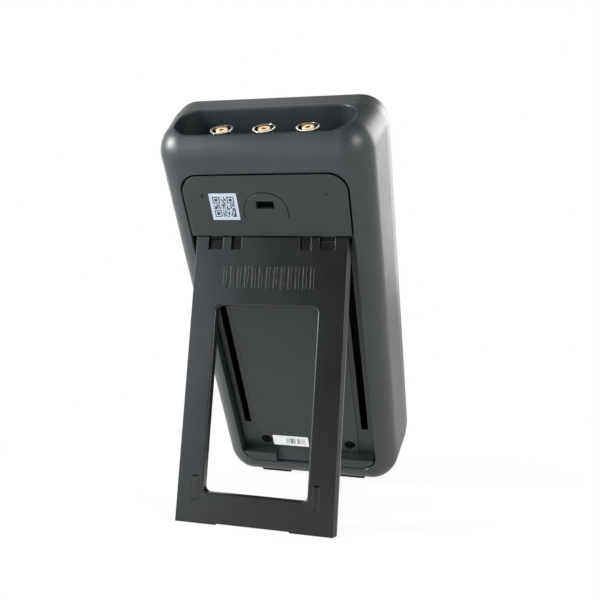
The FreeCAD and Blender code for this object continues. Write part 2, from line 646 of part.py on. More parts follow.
front_shell = cut("front_shell", front_pocketed, group("front_holes", *others))
node(front_shell, stance)


# Keys: a cap with a rounded front edge through its hole, on a lip that keeps it in.
def on_key_front(point):
    return point.y < key_front.value + TINY


for name, x, z, wide, high in square_keys:
    blank = plate(f"{name}_blank", "y", about(x, wide), about(z, high), (key_front, lip_front),
                  d.key_corner)
    cap = rounded(f"{name}_cap", blank, d.key_round, on_key_front)
    lip = plate(f"{name}_lip", "y", about(x, wide + 2 * d.key_lip), about(z, high + 2 * d.key_lip),
                (lip_front, lip_back), d.key_corner)
    node(join(name, cap, lip), stance)
for name, x, z, wide in round_keys:
    blank = rod(f"{name}_blank", "y", wide / 2, (key_front, lip_front), x=x, z=z)
    cap = rounded(f"{name}_cap", blank, d.key_round, on_key_front)
    lip = rod(f"{name}_lip", "y", wide / 2 + d.key_lip, (lip_front, lip_back), x=x, z=z)
    node(join(name, cap, lip), stance)

# Key mat: a rubber sheet on the main board with a dome under each key.
mat_face = board_front - d.mat_thick
mat_z = (cross_z - d.arrow_rise - d.mat_below, soft_z + d.mat_above)
mat = [plate("mat_sheet", "y", both(d.case_width - 2 * d.mat_side), mat_z, (mat_face, board_front),
             d.key_corner)]
for name, x, z, *rest in square_keys + round_keys:
    mat.append(rod(f"{name}_dome", "y", d.dome_radius, (dome_top, mat_face), x=x, z=z))
node(join("keypad_mat", *mat), stance)

# Main board: screwed between the shells on the four posts, with holes for the socket tubes.
board_holes = [rod(f"board_hole_{label}", "y", d.boss_radius + d.fit_gap,
                   (board_front - ABOVE, board_y + ABOVE), x=x, z=z)
               for label, x, z in bosses]
for index, x in sockets:
    board_holes.append(rod(f"board_socket_{index}", "y", d.socket_tube + d.slip,
                           (board_front - ABOVE, board_y + ABOVE), x=x, z=d.socket_place))
board_blank = plate("board_blank", "y", both(d.case_width - 2 * d.wall - 2 * d.board_margin),
                    (d.board_low, input_z[0] - d.board_clear), (board_front, board_y), d.glass_corner)
node(cut("main_board", board_blank, group("board_holes", *board_holes)), stance)

# Display: a clear window let into the front, the panel behind it and a frame that stands on the board.
window = plate("glass_plate", "y", both(glass_wide), about(glass_z, d.glass_height),
               (front_y, front_y + d.glass_thick), d.glass_corner)
node(group("display_window", window), stance)
panel_y = (front_wall, front_wall + d.panel_thick)
node(group("display_panel", block("panel_slab", both(panel_wide), panel_y, about(glass_z, panel_high))),
     stance)
frame_blank = plate("frame_blank", "y", frame_x, frame_z, (front_wall, board_front), d.glass_corner)
frame_seat = block("frame_seat", both(panel_wide + 2 * d.fit_gap), (front_wall - ABOVE, panel_y[1]),
                   about(glass_z, panel_high + 2 * d.fit_gap))
frame_open = block("frame_open", both(panel_wide - 2 * d.frame_step),
                   (front_wall - ABOVE, board_front + ABOVE),
                   about(glass_z, panel_high - 2 * d.frame_step))
node(cut("display_frame", frame_blank, frame_seat, frame_open), stance)

# Test-lead sockets: a metal tube soldered in the board, in a collar that shows on the front.
collar_face = front_y - d.collar_proud
sleeve_mouth = collar_face + d.socket_inset
for index, x in sockets:
    spot = {"x": x, "z": d.socket_place}
    flange = rod(f"collar_flange_{index}", "y", d.collar_flange, (collar_face, front_y), **spot)
    neck = rod(f"collar_neck_{index}", "y", d.collar_radius, (front_y, board_front), **spot)
    inner = rod(f"collar_inner_{index}", "y", d.socket_tube + d.slip,
                (collar_face - ABOVE, board_front + ABOVE), **spot)
    node(cut(f"socket_collar_{index}", join(f"collar_blank_{index}", flange, neck), inner), stance)
    tube = rod(f"sleeve_tube_{index}", "y", d.socket_tube, (sleeve_mouth, sleeve_mouth + d.socket_length),
               **spot)
    bore = rod(f"sleeve_bore_{index}", "y", d.socket_bore,
               (sleeve_mouth - ABOVE, sleeve_mouth + d.socket_length + ABOVE), **spot)
    node(cut(f"socket_sleeve_{index}", tube, bore), stance)

# Rear cover: flush with the case, with the stand's recess, the open ears that snap over the hinge
# pins, the security slot in an engraved ring, and two cups for the screws that hold it.
cover_x = both(d.cover_width - d.seam)
cover_z = (d.cover_low + d.seam / 2, cover_high - d.seam / 2)
recess_floor = -d.recess_depth
ledge_top = d.cover_low + d.ledge_height
out_x = both(d.cover_width + 2 * ABOVE)
cover_blank = overlap("cover_blank", case_rear,
                      plate("cover_plate", "y", cover_x, cover_z, (bay_y, ABOVE),
                            d.cover_corner - d.seam / 2))
scoop_x = both(d.finger_width)
scoop_run = (ledge_top - cover_z[0]) / (d.recess_depth - d.finger_lip)
scoop_low = ledge_top - scoop_run * (d.recess_depth + ABOVE)
recess = [block("stand_recess", out_x, (recess_floor, ABOVE), (ledge_top, hinge_line)),
          wedge("finger_scoop", scoop_x, (recess_floor, ABOVE), (ledge_top, ledge_top + ABOVE),
                scoop_x, (scoop_low, ledge_top + ABOVE))]
band_floor = recess_floor - d.band_drop
band_high = axis_z - d.notch_drop
for label, side in (("left", -1), ("right", 1)):
    band = sorted((side * d.raised_width / 2, side * (d.cover_width / 2 + ABOVE)),
                  key=lambda edge: edge.value)
    recess.append(block(f"side_band_{label}", band, (band_floor, recess_floor + ABOVE),
                        (ledge_top, band_high)))
    recess.append(block(f"side_slot_{label}", about(side * d.groove_spread, d.groove_width),
                        (bay_y - ABOVE, recess_floor + ABOVE), (d.groove_low, hinge_line - d.groove_drop)))
panel_back = -d.cover_skin
recess.append(block("panel_hollow", both(d.cover_width - d.seam - 2 * d.cover_skin),
                    (bay_y - ABOVE, panel_back),
                    (hinge_line + d.cover_skin, cover_z[1] - d.cover_skin)))
recess.append(block("lock_slot", both(d.lock_width), (panel_back - ABOVE, ABOVE),
                    about(hinge_line + d.lock_rise, d.lock_height)))
ring_y = (-d.ring_line, ABOVE)
ring_z = hinge_line + d.ring_rise
ring_outer = rod("ring_outer", "y", d.ring_radius + d.ring_line / 2, ring_y, x=0, z=ring_z)
ring_inner = rod("ring_inner", "y", d.ring_radius - d.ring_line / 2, ring_y, x=0, z=ring_z)
ring_gap = block("ring_gap", both(2 * d.ring_radius + 2 * ABOVE), ring_y,
                 (ring_z - d.ring_radius - ABOVE, ring_z - d.ring_open))
recess.append(cut("ring_groove", ring_outer, ring_inner, ring_gap))
for label, side in (("left", -1), ("right", 1)):
    recess.append(rod(f"dimple_{label}", "y", d.dimple_radius, (-d.dimple_depth, ABOVE),
                      x=side * d.dimple_spread, z=hinge_line + d.dimple_rise))
ears = []
cups = []
ear_holes = []
for label, x in (("left", -d.ear_spread), ("right", d.ear_spread)):
    ears.append(block(f"ear_block_{label}", about(x, d.ear_width), (recess_floor, axis_y),
                      about(axis_z, 2 * barrel)))
    ears.append(rod(f"ear_round_{label}", "x", barrel, about(x, d.ear_width), y=axis_y, z=axis_z))
    ear_holes.append(rod(f"ear_hole_{label}", "x", d.pin_radius + d.running_gap,
                         about(x, d.ear_width + 2 * ABOVE),
                         y=axis_y, z=axis_z))
    ear_holes.append(block(f"ear_mouth_{label}", about(x, d.ear_width), (axis_y + d.ear_lip, ABOVE),
                           about(axis_z, 2 * barrel)))
for label, x in cover_screws:
    cups.append(rod(f"screw_cup_{label}", "y", cup_radius, (cup_end, recess_floor), x=x, z=d.screw_place))
    ear_holes.append(rod(f"screw_well_{label}", "y", d.screw_well, (screw_seat, ABOVE), x=x,
                         z=d.screw_place))
    ear_holes.append(rod(f"screw_hole_{label}", "y", d.screw_shank + d.running_gap,
                         (cup_end - ABOVE, ABOVE),
                         x=x, z=d.screw_place))
cover_eared = join("cover_eared", cut("cover_recessed", cover_blank, *recess), *ears, *cups)
node(cut("rear_cover", cover_eared, *ear_holes), stance)

# Kickstand: drawn shut in its recess, then swung open. The floor cuts its toes and the arch between
# them.
stand_outer = axis_y + barrel
stand_inner = axis_y - barrel
stand_reach = axis_z.value / math.cos(math.radians(d.open_angle.value - d.lean_angle.value))
stand_z = (axis_z - stand_reach, axis_z)
stand_x = both(d.stand_width)
bevel_y = stand_inner + d.stand_edge
face_x = both(d.stand_width - 2 * d.stand_bevel)
stand_blank = join("stand_blank",
                   block("stand_edge_slab", stand_x, (stand_inner, bevel_y), stand_z),
                   wedge("stand_bevel_slab", stand_x, (bevel_y, stand_outer), stand_z, face_x, stand_z),
                   rod("stand_barrel", "x", barrel, face_x, y=axis_y, z=axis_z))


def floor_block(name, wide, high):
    """A block under the floor, or up to a height above it, as it lies beside the shut kickstand."""
    box = doc.addObject("Part::Box", name)
    deep = d.case_length
    bind(box, "Length", wide)
    bind(box, "Width", 2 * deep)
    bind(box, "Height", deep + high)
    box.Placement = stand_stance.inverse() * Placement(Vector(-wide.value / 2, -deep.value, -deep.value),
                                                       Rotation())
    return box


floor_in_stand = stand_stance.inverse().multVec(Vector(0, 0, 0))
floor_normal = stand_stance.inverse().Rotation.multVec(Vector(0, 0, 1))
toe_z = floor_in_stand.z - (stand_outer.value - floor_in_stand.y) * floor_normal.y / floor_normal.z
window_z = (toe_z + d.window_rail, axis_z - d.window_drop)
stand_cuts = [floor_block("floor_under_stand", 2 * d.stand_width, dim(0)),
              floor_block("arch_under_stand", d.arch_width, d.arch_height),
              plate("stand_window", "y", both(d.window_width), window_z,
                    (stand_inner - ABOVE, stand_outer + ABOVE), d.window_corner)]
notch_y = (stand_inner - ABOVE, stand_outer + ABOVE)
notch_z = (axis_z - d.notch_drop, axis_z + barrel + ABOVE)
pin_holes = []
for label, side in (("left", -1), ("right", 1)):
    stand_cuts.append(block(f"ear_notch_{label}", about(side * d.ear_spread, d.ear_width + 2 * d.ear_gap),
                            notch_y, notch_z))
    stand_cuts.append(block(f"relief_notch_{label}", about(side * d.relief_spread, d.relief_width),
                            notch_y, notch_z))
    span = sorted((side * d.pin_inner, side * d.pin_outer), key=lambda end: end.value)
    pin_holes.append(rod(f"pin_hole_{label}", "x", d.pin_radius + d.slip, span, y=axis_y, z=axis_z))
raised = []
for index in range(int(d.rib_count.value)):
    x = (index - (d.rib_count.value - 1) / 2) * d.rib_pitch
    raised.append(block(f"grip_rib_{index + 1}", about(x, d.rib_width),
                        (axis_y, stand_outer + d.rib_height),
                        about(axis_z - d.rib_drop, d.rib_length)))
for label, side in (("left", -1), ("right", 1)):
    pad_x, pad_z = side * d.pad_spread, axis_z - d.pad_drop
    raised.append(wedge(f"leg_pad_{label}", about(pad_x, d.pad_width + 2 * d.pad_slope),
                        (stand_outer - d.pad_height, stand_outer + d.pad_height),
                        about(pad_z, d.pad_length + 2 * d.pad_slope),
                        about(pad_x, d.pad_width - 2 * d.pad_slope),
                        about(pad_z, d.pad_length - 2 * d.pad_slope)))
stand_cut = cut("stand_cut", stand_blank, *stand_cuts)


def on_window_rim(point):
    across = abs(point.x) < d.window_width.value / 2 + TINY
    upright = window_z[0].value - TINY < point.z < window_z[1].value + TINY
    return across and upright and point.y > stand_outer.value - TINY


stand_rounded = rounded("stand_rounded", stand_cut, d.window_round, on_window_rim)
stand_raised = join("stand_raised", stand_rounded, *raised)
node(cut("kickstand", stand_raised, group("pin_holes", *pin_holes)), stand_stance)
pins = []
for label, side in (("left", -1), ("right", 1)):
    span = sorted((side * d.pin_inner, side * d.pin_outer), key=lambda end: end.value)
    pins.append(rod(f"hinge_pin_{label}", "x", d.pin_radius, span, y=axis_y, z=axis_z))
node(group("hinge_pins", *pins), stand_stance)

# Screws: two small ones through the cover into the rear shell, four long ones under it through
# both shells.
small = [screw(f"cover_screw_{label}", x, d.screw_place, screw_seat + d.screw_head_high, d.screw_head,
               d.screw_head_high, d.screw_shank, screw_end) for label, x in cover_screws]
node(group("cover_screws", *small), stance)
long_ones = [screw(f"case_screw_{label}", x, z, bay_y, d.case_head, d.case_head_high, d.case_shank,
                   seam_y - d.case_bite) for label, x, z in bosses]
node(group("case_screws", *long_ones), stance)

# Feet: two tapered rubber pads under the bottom end, shaped to the case above and cut flat by the
# floor below.
floor_under_foot = doc.addObject("Part::Box", "floor_under_feet")
bind(floor_under_foot, "Length", 2 * d.case_width)
bind(floor_under_foot, "Width", 2 * d.case_length)
bind(floor_under_foot, "Height", d.case_length)
floor_under_foot.Placement = stance.inverse() * Placement(Vector(-d.case_width.value, -length.value,
                                                                 -length.value), Rotation())
feet = []
for label, side in (("left", -1), ("right", 1)):
    x = side * d.foot_spread
    pad = doc.addObject("Part::Wedge", f"foot_pad_{label}")
    top = d.bottom_round / 2
    spread = (d.foot_width - d.foot_sole) / d.foot_height * (top + d.foot_height) + d.foot_sole
    for prop, size in (("Xmin", x - spread / 2), ("Xmax", x + spread / 2), ("Ymin", -top),
                       ("Ymax", d.foot_height),
                       ("X2min", x - d.foot_sole / 2), ("X2max", x + d.foot_sole / 2),
                       ("Zmin", -d.foot_rear - d.foot_reach), ("Zmax", -d.foot_rear),
                       ("Z2min", -d.foot_rear - d.foot_reach), ("Z2max", -d.foot_rear)):
        bind(pad, prop, size)
    pad.Placement = Placement(Vector(), Rotation(Vector(1, 0, 0), -90))
    feet.append(cut(f"foot_{label}", pad, case_rear, floor_under_foot))
node(group("bottom_feet", *feet), stance)

# Labels: a square one on the upper panel and a strip on the recess floor.
square_label = plate("label_sheet", "y", about(d.label_offset, d.label_width),
                     about(hinge_line + d.label_rise, d.label_height),
                     (0, d.paper), d.ring_line)
node(group("code_label", square_label), stance)
strip_label = plate("strip_sheet", "y", about(d.strip_offset, d.strip_width),
                    about(d.strip_place, d.strip_height), (recess_floor, recess_floor + d.paper),
                    d.ring_line)
node(group("serial_label", strip_label), stance)

# Connector sockets: a flanged barrel with bayonet lugs in the well, nutted under its floor to the
# input board, with an insulating core and a centre contact that ends in the board.
rim_z = length - d.jack_drop
mouth_z = rim_z - d.jack_mouth
nuts = []
input_holes = []
for index, x in jacks:
    spot = {"x": x, "y": jack_y}
    barrel_rod = rod(f"jack_barrel_{index}", "z", d.jack_radius, (shank_z, rim_z), **spot)
    flange = rod(f"jack_flange_{index}", "z", d.jack_flange, (well_floor, well_floor + d.jack_flange_high),
                 **spot)
    lug = rod(f"jack_lug_{index}", "x", d.lug_radius, about(x, 2 * d.lug_reach), y=jack_y,
              z=rim_z - d.lug_drop)
    mouth = rod(f"jack_mouth_{index}", "z", d.jack_bore, (mouth_z, rim_z + ABOVE), **spot)
    throat = rod(f"jack_throat_{index}", "z", d.core_radius + d.slip, (shank_z - ABOVE, mouth_z + ABOVE),
                 **spot)
    node(cut(f"bnc_body_{index}", join(f"jack_blank_{index}", barrel_rod, flange, lug), mouth, throat),
         stance)
    core_face = rim_z - d.core_drop
    core = rod(f"core_rod_{index}", "z", d.core_radius, (shank_z, core_face), **spot)
    core_hole = rod(f"core_hole_{index}", "z", d.contact_radius + d.slip,
                    (shank_z - ABOVE, core_face + ABOVE), **spot)
    node(cut(f"bnc_insulator_{index}", core, core_hole), stance)
    pin = rod(f"contact_rod_{index}", "z", d.contact_radius, (input_z[0], core_face), **spot)
    pin_bore = rod(f"contact_hole_{index}", "z", d.contact_bore,
                   (core_face - d.contact_depth, core_face + ABOVE), **spot)
    node(cut(f"bnc_contact_{index}", pin, pin_bore), stance)
    nut = doc.addObject("Part::Prism", f"nut_prism_{index}")
    nut.Polygon = 6
    bind(nut, "Circumradius", d.nut_radius)
    bind(nut, "Height", d.nut_high)
    move(nut, {**spot, "z": shank_z})
    nut_hole = rod(f"nut_hole_{index}", "z", d.jack_radius + d.slip, (shank_z - ABOVE, well_floor), **spot)
    nuts.append(cut(f"nut_{index}", nut, nut_hole))
    input_holes.append(rod(f"input_hole_{index}", "z", d.contact_radius + d.slip,
                           (input_z[0] - ABOVE, input_z[1] + ABOVE), **spot))
node(group("bnc_nuts", *nuts), stance)
input_rear = bay_back - d.fit_gap
input_blank = block("input_blank", both(d.input_width), (input_rear - d.input_reach, input_rear), input_z)
node(cut("input_board", input_blank, group("input_holes", *input_holes)), stance)

# On the rear of the main board: the screening can, the fuses in their clips and the buzzer.
can_y = (board_y, board_y + d.shield_deep)
can_z = about(glass_z + d.shield_rise, d.shield_long)
can = block("can_outer", both(d.shield_width), can_y, can_z)
can_room = block("can_room", both(d.shield_width - 2 * d.sheet_metal),
                 (board_y - ABOVE, can_y[1] - d.sheet_metal),
                 (can_z[0] + d.sheet_metal, can_z[1] - d.sheet_metal))
node(cut("shield_can", can, can_room), stance)
fuse_x = half - d.fuse_inset
fuse_y = board_y + d.fuse_lift + d.fuse_radius
fuses = []
clips = []
for label, side in (("left", -1), ("right", 1)):
    x = side * fuse_x
    fuse_z = (d.fuse_low, d.fuse_low + d.fuse_length)
    fuses.append(rod(f"fuse_{label}", "z", d.fuse_radius, fuse_z, x=x, y=fuse_y))
    for end, low in (("low", fuse_z[0]), ("high", fuse_z[1] - d.clip_length)):
        clip_z = (low, low + d.clip_length)
        clip = block(f"clip_block_{label}_{end}", about(x, d.clip_width), (board_y, fuse_y + d.fuse_lift),
                     clip_z)
        seat = rod(f"clip_seat_{label}_{end}", "z", d.fuse_radius + d.slip,
                   (low - ABOVE, clip_z[1] + ABOVE), x=x, y=fuse_y)
        clips.append(cut(f"clip_{label}_{end}", clip, seat))
node(group("fuses", *fuses), stance)
node(group("fuse_clips", *clips), stance)
buzzer = rod("buzzer_can", "y", d.buzzer_radius, (board_y, board_y + d.buzzer_high), x=fuse_x,
             z=d.buzzer_place)
buzzer_hole = rod("buzzer_hole", "y", d.contact_radius,
                  (board_y + d.buzzer_high / 2, board_y + d.buzzer_high + ABOVE),
                  x=fuse_x, z=d.buzzer_place)
node(cut("buzzer", buzzer, buzzer_hole), stance)

# Charging port: a metal shell on the front of the board with a tongue, its mouth in the side wall.
port_x = (half - d.port_inset - d.port_long, half - d.port_inset)
port_shell = plate("port_shell", "x", port_y, port_z, port_x, d.port_high / 2 - d.slip)
port_room = plate("port_room", "x", (port_y[0] + d.sheet_metal, port_y[1] - d.sheet_metal),
                  (port_z[0] + d.sheet_metal, port_z[1] - d.sheet_metal),
                  (port_x[0] + d.board, port_x[1] + ABOVE), d.port_high / 2 - d.sheet_metal - d.slip)
tongue = block("port_tongue", (port_x[0], port_x[1] - d.board),
               about((port_y[0] + port_y[1]) / 2, 2 * d.sheet_metal),
               (port_z[0] + d.port_high / 2, port_z[1] - d.port_high / 2))
node(join("usb_socket", cut("port_hollow", port_shell, port_room), tongue), stance)

# Battery: two cells side by side in the tub, with a sprung contact plate at each end.
cell_z = (d.cell_low, d.cell_low + d.cell_length)
cells = [(1, -(d.cell_radius + d.cell_gap / 2)), (2, d.cell_radius + d.cell_gap / 2)]
for index, x in cells:
    jacket = rod(f"cell_jacket_{index}", "z", d.cell_radius, (cell_z[0], cell_z[1] - d.cap_high), x=x,
                 y=cell_y)
    cap = rod(f"cell_cap_{index}", "z", d.cap_radius, cell_z, x=x, y=cell_y)
    node(join(f"battery_cell_{index}", jacket, cap), stance)
contact_x = both(2 * d.cell_radius + d.cell_gap + 2 * d.cap_radius)
for label, plate_z, bump_z in (("low", (tub_z[0], tub_z[0] + d.sheet_metal), (tub_z[0], cell_z[0])),
                               ("high", (tub_z[1] - d.sheet_metal, tub_z[1]), (cell_z[1], tub_z[1]))):
    pieces = [block(f"contact_plate_{label}", contact_x, about(cell_y, d.contact_high), plate_z)]
    for index, x in cells:
        pieces.append(rod(f"contact_bump_{label}_{index}", "z", d.cap_radius, bump_z, x=x, y=cell_y))
    node(join(f"battery_contact_{label}", *pieces), stance)

doc.recompute()

failed = [thing.Name for thing in doc.Objects if "Invalid" in thing.State or "Error" in thing.State]
failed += [piece.Name for piece in nodes if piece.Shape.isNull() or not piece.Shape.isValid()]
if failed:
    raise SystemExit(f"these objects failed: {failed}")
os.makedirs("parts", exist_ok=True)
for piece in nodes:
    piece.Shape.exportStep(os.path.join("parts", f"{piece.Label}.step"))
print(len(nodes), "nodes written")
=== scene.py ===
import json
import math

import bmesh
import bpy
from mathutils import Matrix, Quaternion, Vector


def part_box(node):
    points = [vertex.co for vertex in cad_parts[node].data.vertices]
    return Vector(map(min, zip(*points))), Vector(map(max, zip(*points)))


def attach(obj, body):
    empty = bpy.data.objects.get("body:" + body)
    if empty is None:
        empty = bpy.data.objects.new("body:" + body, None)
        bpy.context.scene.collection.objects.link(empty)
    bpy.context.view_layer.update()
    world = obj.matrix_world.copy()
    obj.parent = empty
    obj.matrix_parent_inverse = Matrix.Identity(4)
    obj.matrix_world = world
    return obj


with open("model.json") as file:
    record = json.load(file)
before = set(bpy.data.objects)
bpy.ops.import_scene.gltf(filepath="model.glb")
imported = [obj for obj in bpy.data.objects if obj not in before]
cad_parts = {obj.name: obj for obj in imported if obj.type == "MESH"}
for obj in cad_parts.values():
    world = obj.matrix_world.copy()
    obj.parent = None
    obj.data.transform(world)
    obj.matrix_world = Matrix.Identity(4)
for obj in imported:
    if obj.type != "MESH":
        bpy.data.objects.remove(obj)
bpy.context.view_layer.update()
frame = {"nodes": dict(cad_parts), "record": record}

# Case shells: two injection mouldings of black ABS. The deep rear one is rounded and tapered, the
# shallow front one closes it at the seam, and four long screws under the rear cover hold the two
# together.
MM = 0.001
# A mix node has several sockets of each name, so its colour sockets go by number.
MIX_FACTOR, MIX_FIRST, MIX_SECOND, MIX_RESULT = 0, 6, 7, 2
nodes = frame["nodes"]
mounts = {mount["name"]: mount for mount in frame["record"]["mounts"]}
rear_way = mounts["security_slot"]["axis"]
lean = math.atan2(-rear_way[2], rear_way[1])
to_case = Matrix.Rotation(lean, 3, "X")


def linear(hex_colour):
    """An sRGB hex colour as linear red, green, blue and alpha."""
    channels = [int(hex_colour[place:place + 2], 16) / 255 for place in (1, 3, 5)]
    return tuple(c / 12.92 if c <= 0.04045 else ((c + 0.055) / 1.055) ** 2.4 for c in channels) + (1.0,)


def add(tree, kind, inputs=None, **settings):
    """Adds a node with its settings, and fills its inputs with values or with links from sockets."""
    node = tree.nodes.new(kind)
    for name, value in settings.items():
        setattr(node, name, value)
    for name, value in (inputs or {}).items():
        if isinstance(value, bpy.types.NodeSocket):
            tree.links.new(value, node.inputs[name])
        else:
            node.inputs[name].default_value = value
    return node


def surface(name, build):
    """A material whose shader is what build returns for its node tree."""
    material = bpy.data.materials.new(name)
    material.use_nodes = True
    material.node_tree.nodes.clear()
    shader = build(material.node_tree)
    add(material.node_tree, "ShaderNodeOutputMaterial", {"Surface": shader.outputs[0]})
    return material


def dress(material, *names):
    """Gives CAD nodes a material in place of their own."""
    for name in names:
        mesh = nodes[name].data
        mesh.materials.clear()
        mesh.materials.append(material)


BEVEL_SAMPLES = 6


def moulding(name, deep, pale, edge_wear_and_highlight, grit, relief, gloss, edge, ior):
    """A moulded surface. Its colour drifts from deep to pale, its mould left grit of a size and
    relief in mm, and its edges are rounded by some mm, rubbed a little shinier, and painted paler
    towards the edge colour, partly as rubbing wear and partly as a painted highlight. Real grit of
    about 0.1 mm is drawn a few times coarser, so that it shows."""
    cloud_size, gloss_swing = 16, 0.025
    unturned, well_turned, most_rub_and_highlight, rubbed_gloss = 0.99, 0.8, 0.5, -0.2

    def build(tree):
        place = add(tree, "ShaderNodeTexCoord").outputs["Object"]
        drift = add(tree, "ShaderNodeTexNoise",
                    {"Vector": place, "Scale": 1 / (cloud_size * MM), "Detail": 3.0})
        grain = add(tree, "ShaderNodeTexNoise",
                    {"Vector": place, "Scale": 1 / (grit * MM), "Detail": 2.0})
        both = add(tree, "ShaderNodeMath", {0: drift.outputs["Fac"], 1: grain.outputs["Fac"]},
                   operation="ADD")
        tone = add(tree, "ShaderNodeMapRange",
                   {"Value": both.outputs[0], "From Min": 0.75, "From Max": 1.25})
        colour = add(tree, "ShaderNodeMix", {MIX_FACTOR: tone.outputs[0], MIX_FIRST: linear(deep),
                                             MIX_SECOND: linear(pale)}, data_type="RGBA")
        soft = add(tree, "ShaderNodeBevel", {"Radius": edge * MM}, samples=BEVEL_SAMPLES)
        flat = add(tree, "ShaderNodeNewGeometry")
        turn = add(tree, "ShaderNodeVectorMath", {0: soft.outputs["Normal"], 1: flat.outputs["Normal"]},
                   operation="DOT_PRODUCT")
        # Near every edge, convex or hollow, the colour turns towards the edge colour. This is partly
        # rubbing wear and partly a painted highlight that lies there whatever the light. The same mask
        # also makes the edges shinier.
        edge_rub_and_highlight = add(tree, "ShaderNodeMapRange",
                     {"Value": turn.outputs["Value"], "From Min": unturned, "From Max": well_turned,
                      "To Max": most_rub_and_highlight})
        worn_and_highlit_colour = add(tree, "ShaderNodeMix",
                    {MIX_FACTOR: edge_rub_and_highlight.outputs[0], MIX_FIRST: colour.outputs[MIX_RESULT],
                     MIX_SECOND: linear(edge_wear_and_highlight)}, data_type="RGBA")
        matte = add(tree, "ShaderNodeMapRange",
                    {"Value": both.outputs[0], "From Min": 0.7, "From Max": 1.3,
                     "To Min": gloss - gloss_swing, "To Max": gloss + gloss_swing})
        sheen = add(tree, "ShaderNodeMath", {0: edge_rub_and_highlight.outputs[0], 1: rubbed_gloss, 2: matte.outputs[0]},
                    operation="MULTIPLY_ADD")
        bump = add(tree, "ShaderNodeBump", {"Height": grain.outputs["Fac"], "Distance": relief * MM,
                                            "Strength": 1.0, "Normal": soft.outputs["Normal"]})
        return add(tree, "ShaderNodeBsdfPrincipled",
                   {"Base Color": worn_and_highlit_colour.outputs[MIX_RESULT], "Roughness": sheen.outputs[0], "IOR": ior,
                    "Normal": bump.outputs["Normal"]})
    return surface(name, build)


# Spark-eroded ABS: the mould leaves a fine matte grit of about 0.1 mm, drawn here at 0.55 mm so that
# it shows, which breaks up the sheen along the round edges.
ABS_IOR = 1.53
# In this and every moulding below, the third colour paints the edges. It is partly rubbing wear and
# partly a painted highlight.
case_abs = moulding("spark_textured_black_abs", "#1d2123", "#252a2c", "#3a3f41", grit=0.55, relief=0.035,
                    gloss=0.41, edge=1.2, ior=ABS_IOR)
dress(case_abs, "rear_shell", "front_shell")


# Connector jacks: three nickel-plated brass barrels with bayonet lugs, turned on a lathe, standing in
# the well and held by hexagon nuts under its floor.
def upright(tree, origin=Vector((0, 0, 0)), grain=(1, 1, 1)):
    """Places in the standing case's own directions, counted from a point in units of grain, in m."""
    spot = add(tree, "ShaderNodeTexCoord").outputs["Object"]
    turned = add(tree, "ShaderNodeMapping", {"Vector": spot, "Location": -(to_case @ origin),
                                             "Rotation": (lean, 0, 0)})
    stretched = add(tree, "ShaderNodeVectorMath",
                    {0: turned.outputs[0], 1: tuple(1 / size for size in grain)}, operation="MULTIPLY")
    return stretched.outputs[0]


def bare_metal(name, deep, pale, gloss, marks):
    """Plated or plain metal, with tool marks of a size in mm across, deep and along the case. They are
    drawn a few times coarser than real ones, so that they show."""
    tarnish_size, gloss_swing, edge, relief = 3, 0.08, 0.12, 0.004

    def build(tree):
        place = upright(tree, grain=[size * MM for size in marks])
        lines = add(tree, "ShaderNodeTexNoise", {"Vector": place, "Scale": 1.0, "Detail": 3.0})
        tarnish = add(tree, "ShaderNodeTexNoise",
                      {"Vector": upright(tree), "Scale": 1 / (tarnish_size * MM), "Detail": 2.0})
        tone = add(tree, "ShaderNodeMapRange",
                   {"Value": tarnish.outputs["Fac"], "From Min": 0.3, "From Max": 0.7})
        colour = add(tree, "ShaderNodeMix", {MIX_FACTOR: tone.outputs[0], MIX_FIRST: linear(deep),
                                             MIX_SECOND: linear(pale)}, data_type="RGBA")
        rough = add(tree, "ShaderNodeMapRange",
                    {"Value": lines.outputs["Fac"], "From Min": 0.3, "From Max": 0.7,
                     "To Min": gloss - gloss_swing, "To Max": gloss + gloss_swing})
        soft = add(tree, "ShaderNodeBevel", {"Radius": edge * MM}, samples=BEVEL_SAMPLES)
        bump = add(tree, "ShaderNodeBump", {"Height": lines.outputs["Fac"], "Distance": relief * MM,
                                            "Strength": 1.0, "Normal": soft.outputs["Normal"]})
        return add(tree, "ShaderNodeBsdfPrincipled",
                   {"Base Color": colour.outputs[MIX_RESULT], "Metallic": 1.0,
                    "Roughness": rough.outputs[0], "Normal": bump.outputs["Normal"]})
    return surface(name, build)


# Bright nickel over turned brass: a pale warm mirror with fine rings square to the barrel.
JACKS = (1, 2, 3)
TURNED = (4, 4, 0.2)
nickel = bare_metal("bright_nickel_on_turned_brass", "#d2cdc4", "#efece5", gloss=0.18, marks=TURNED)
dress(nickel, "bnc_nuts", *(f"bnc_body_{index}" for index in JACKS))

# Jack cores: a cream insulator turned from engineering plastic, pressed into each barrel, with a
# gold-plated spring contact in its middle. Both are satin, and the gold has faint turning rings.
cream = moulding("turned_cream_insulator", "#cbb492", "#ddcbae", "#e6dac4", grit=0.6, relief=0.01,
                 gloss=0.35, edge=0.15, ior=1.6)
gold = bare_metal("gold_plated_contact", "#b98d3c", "#e0b860", gloss=0.22, marks=TURNED)
dress(cream, *(f"bnc_insulator_{index}" for index in JACKS))
dress(gold, *(f"bnc_contact_{index}" for index in JACKS))


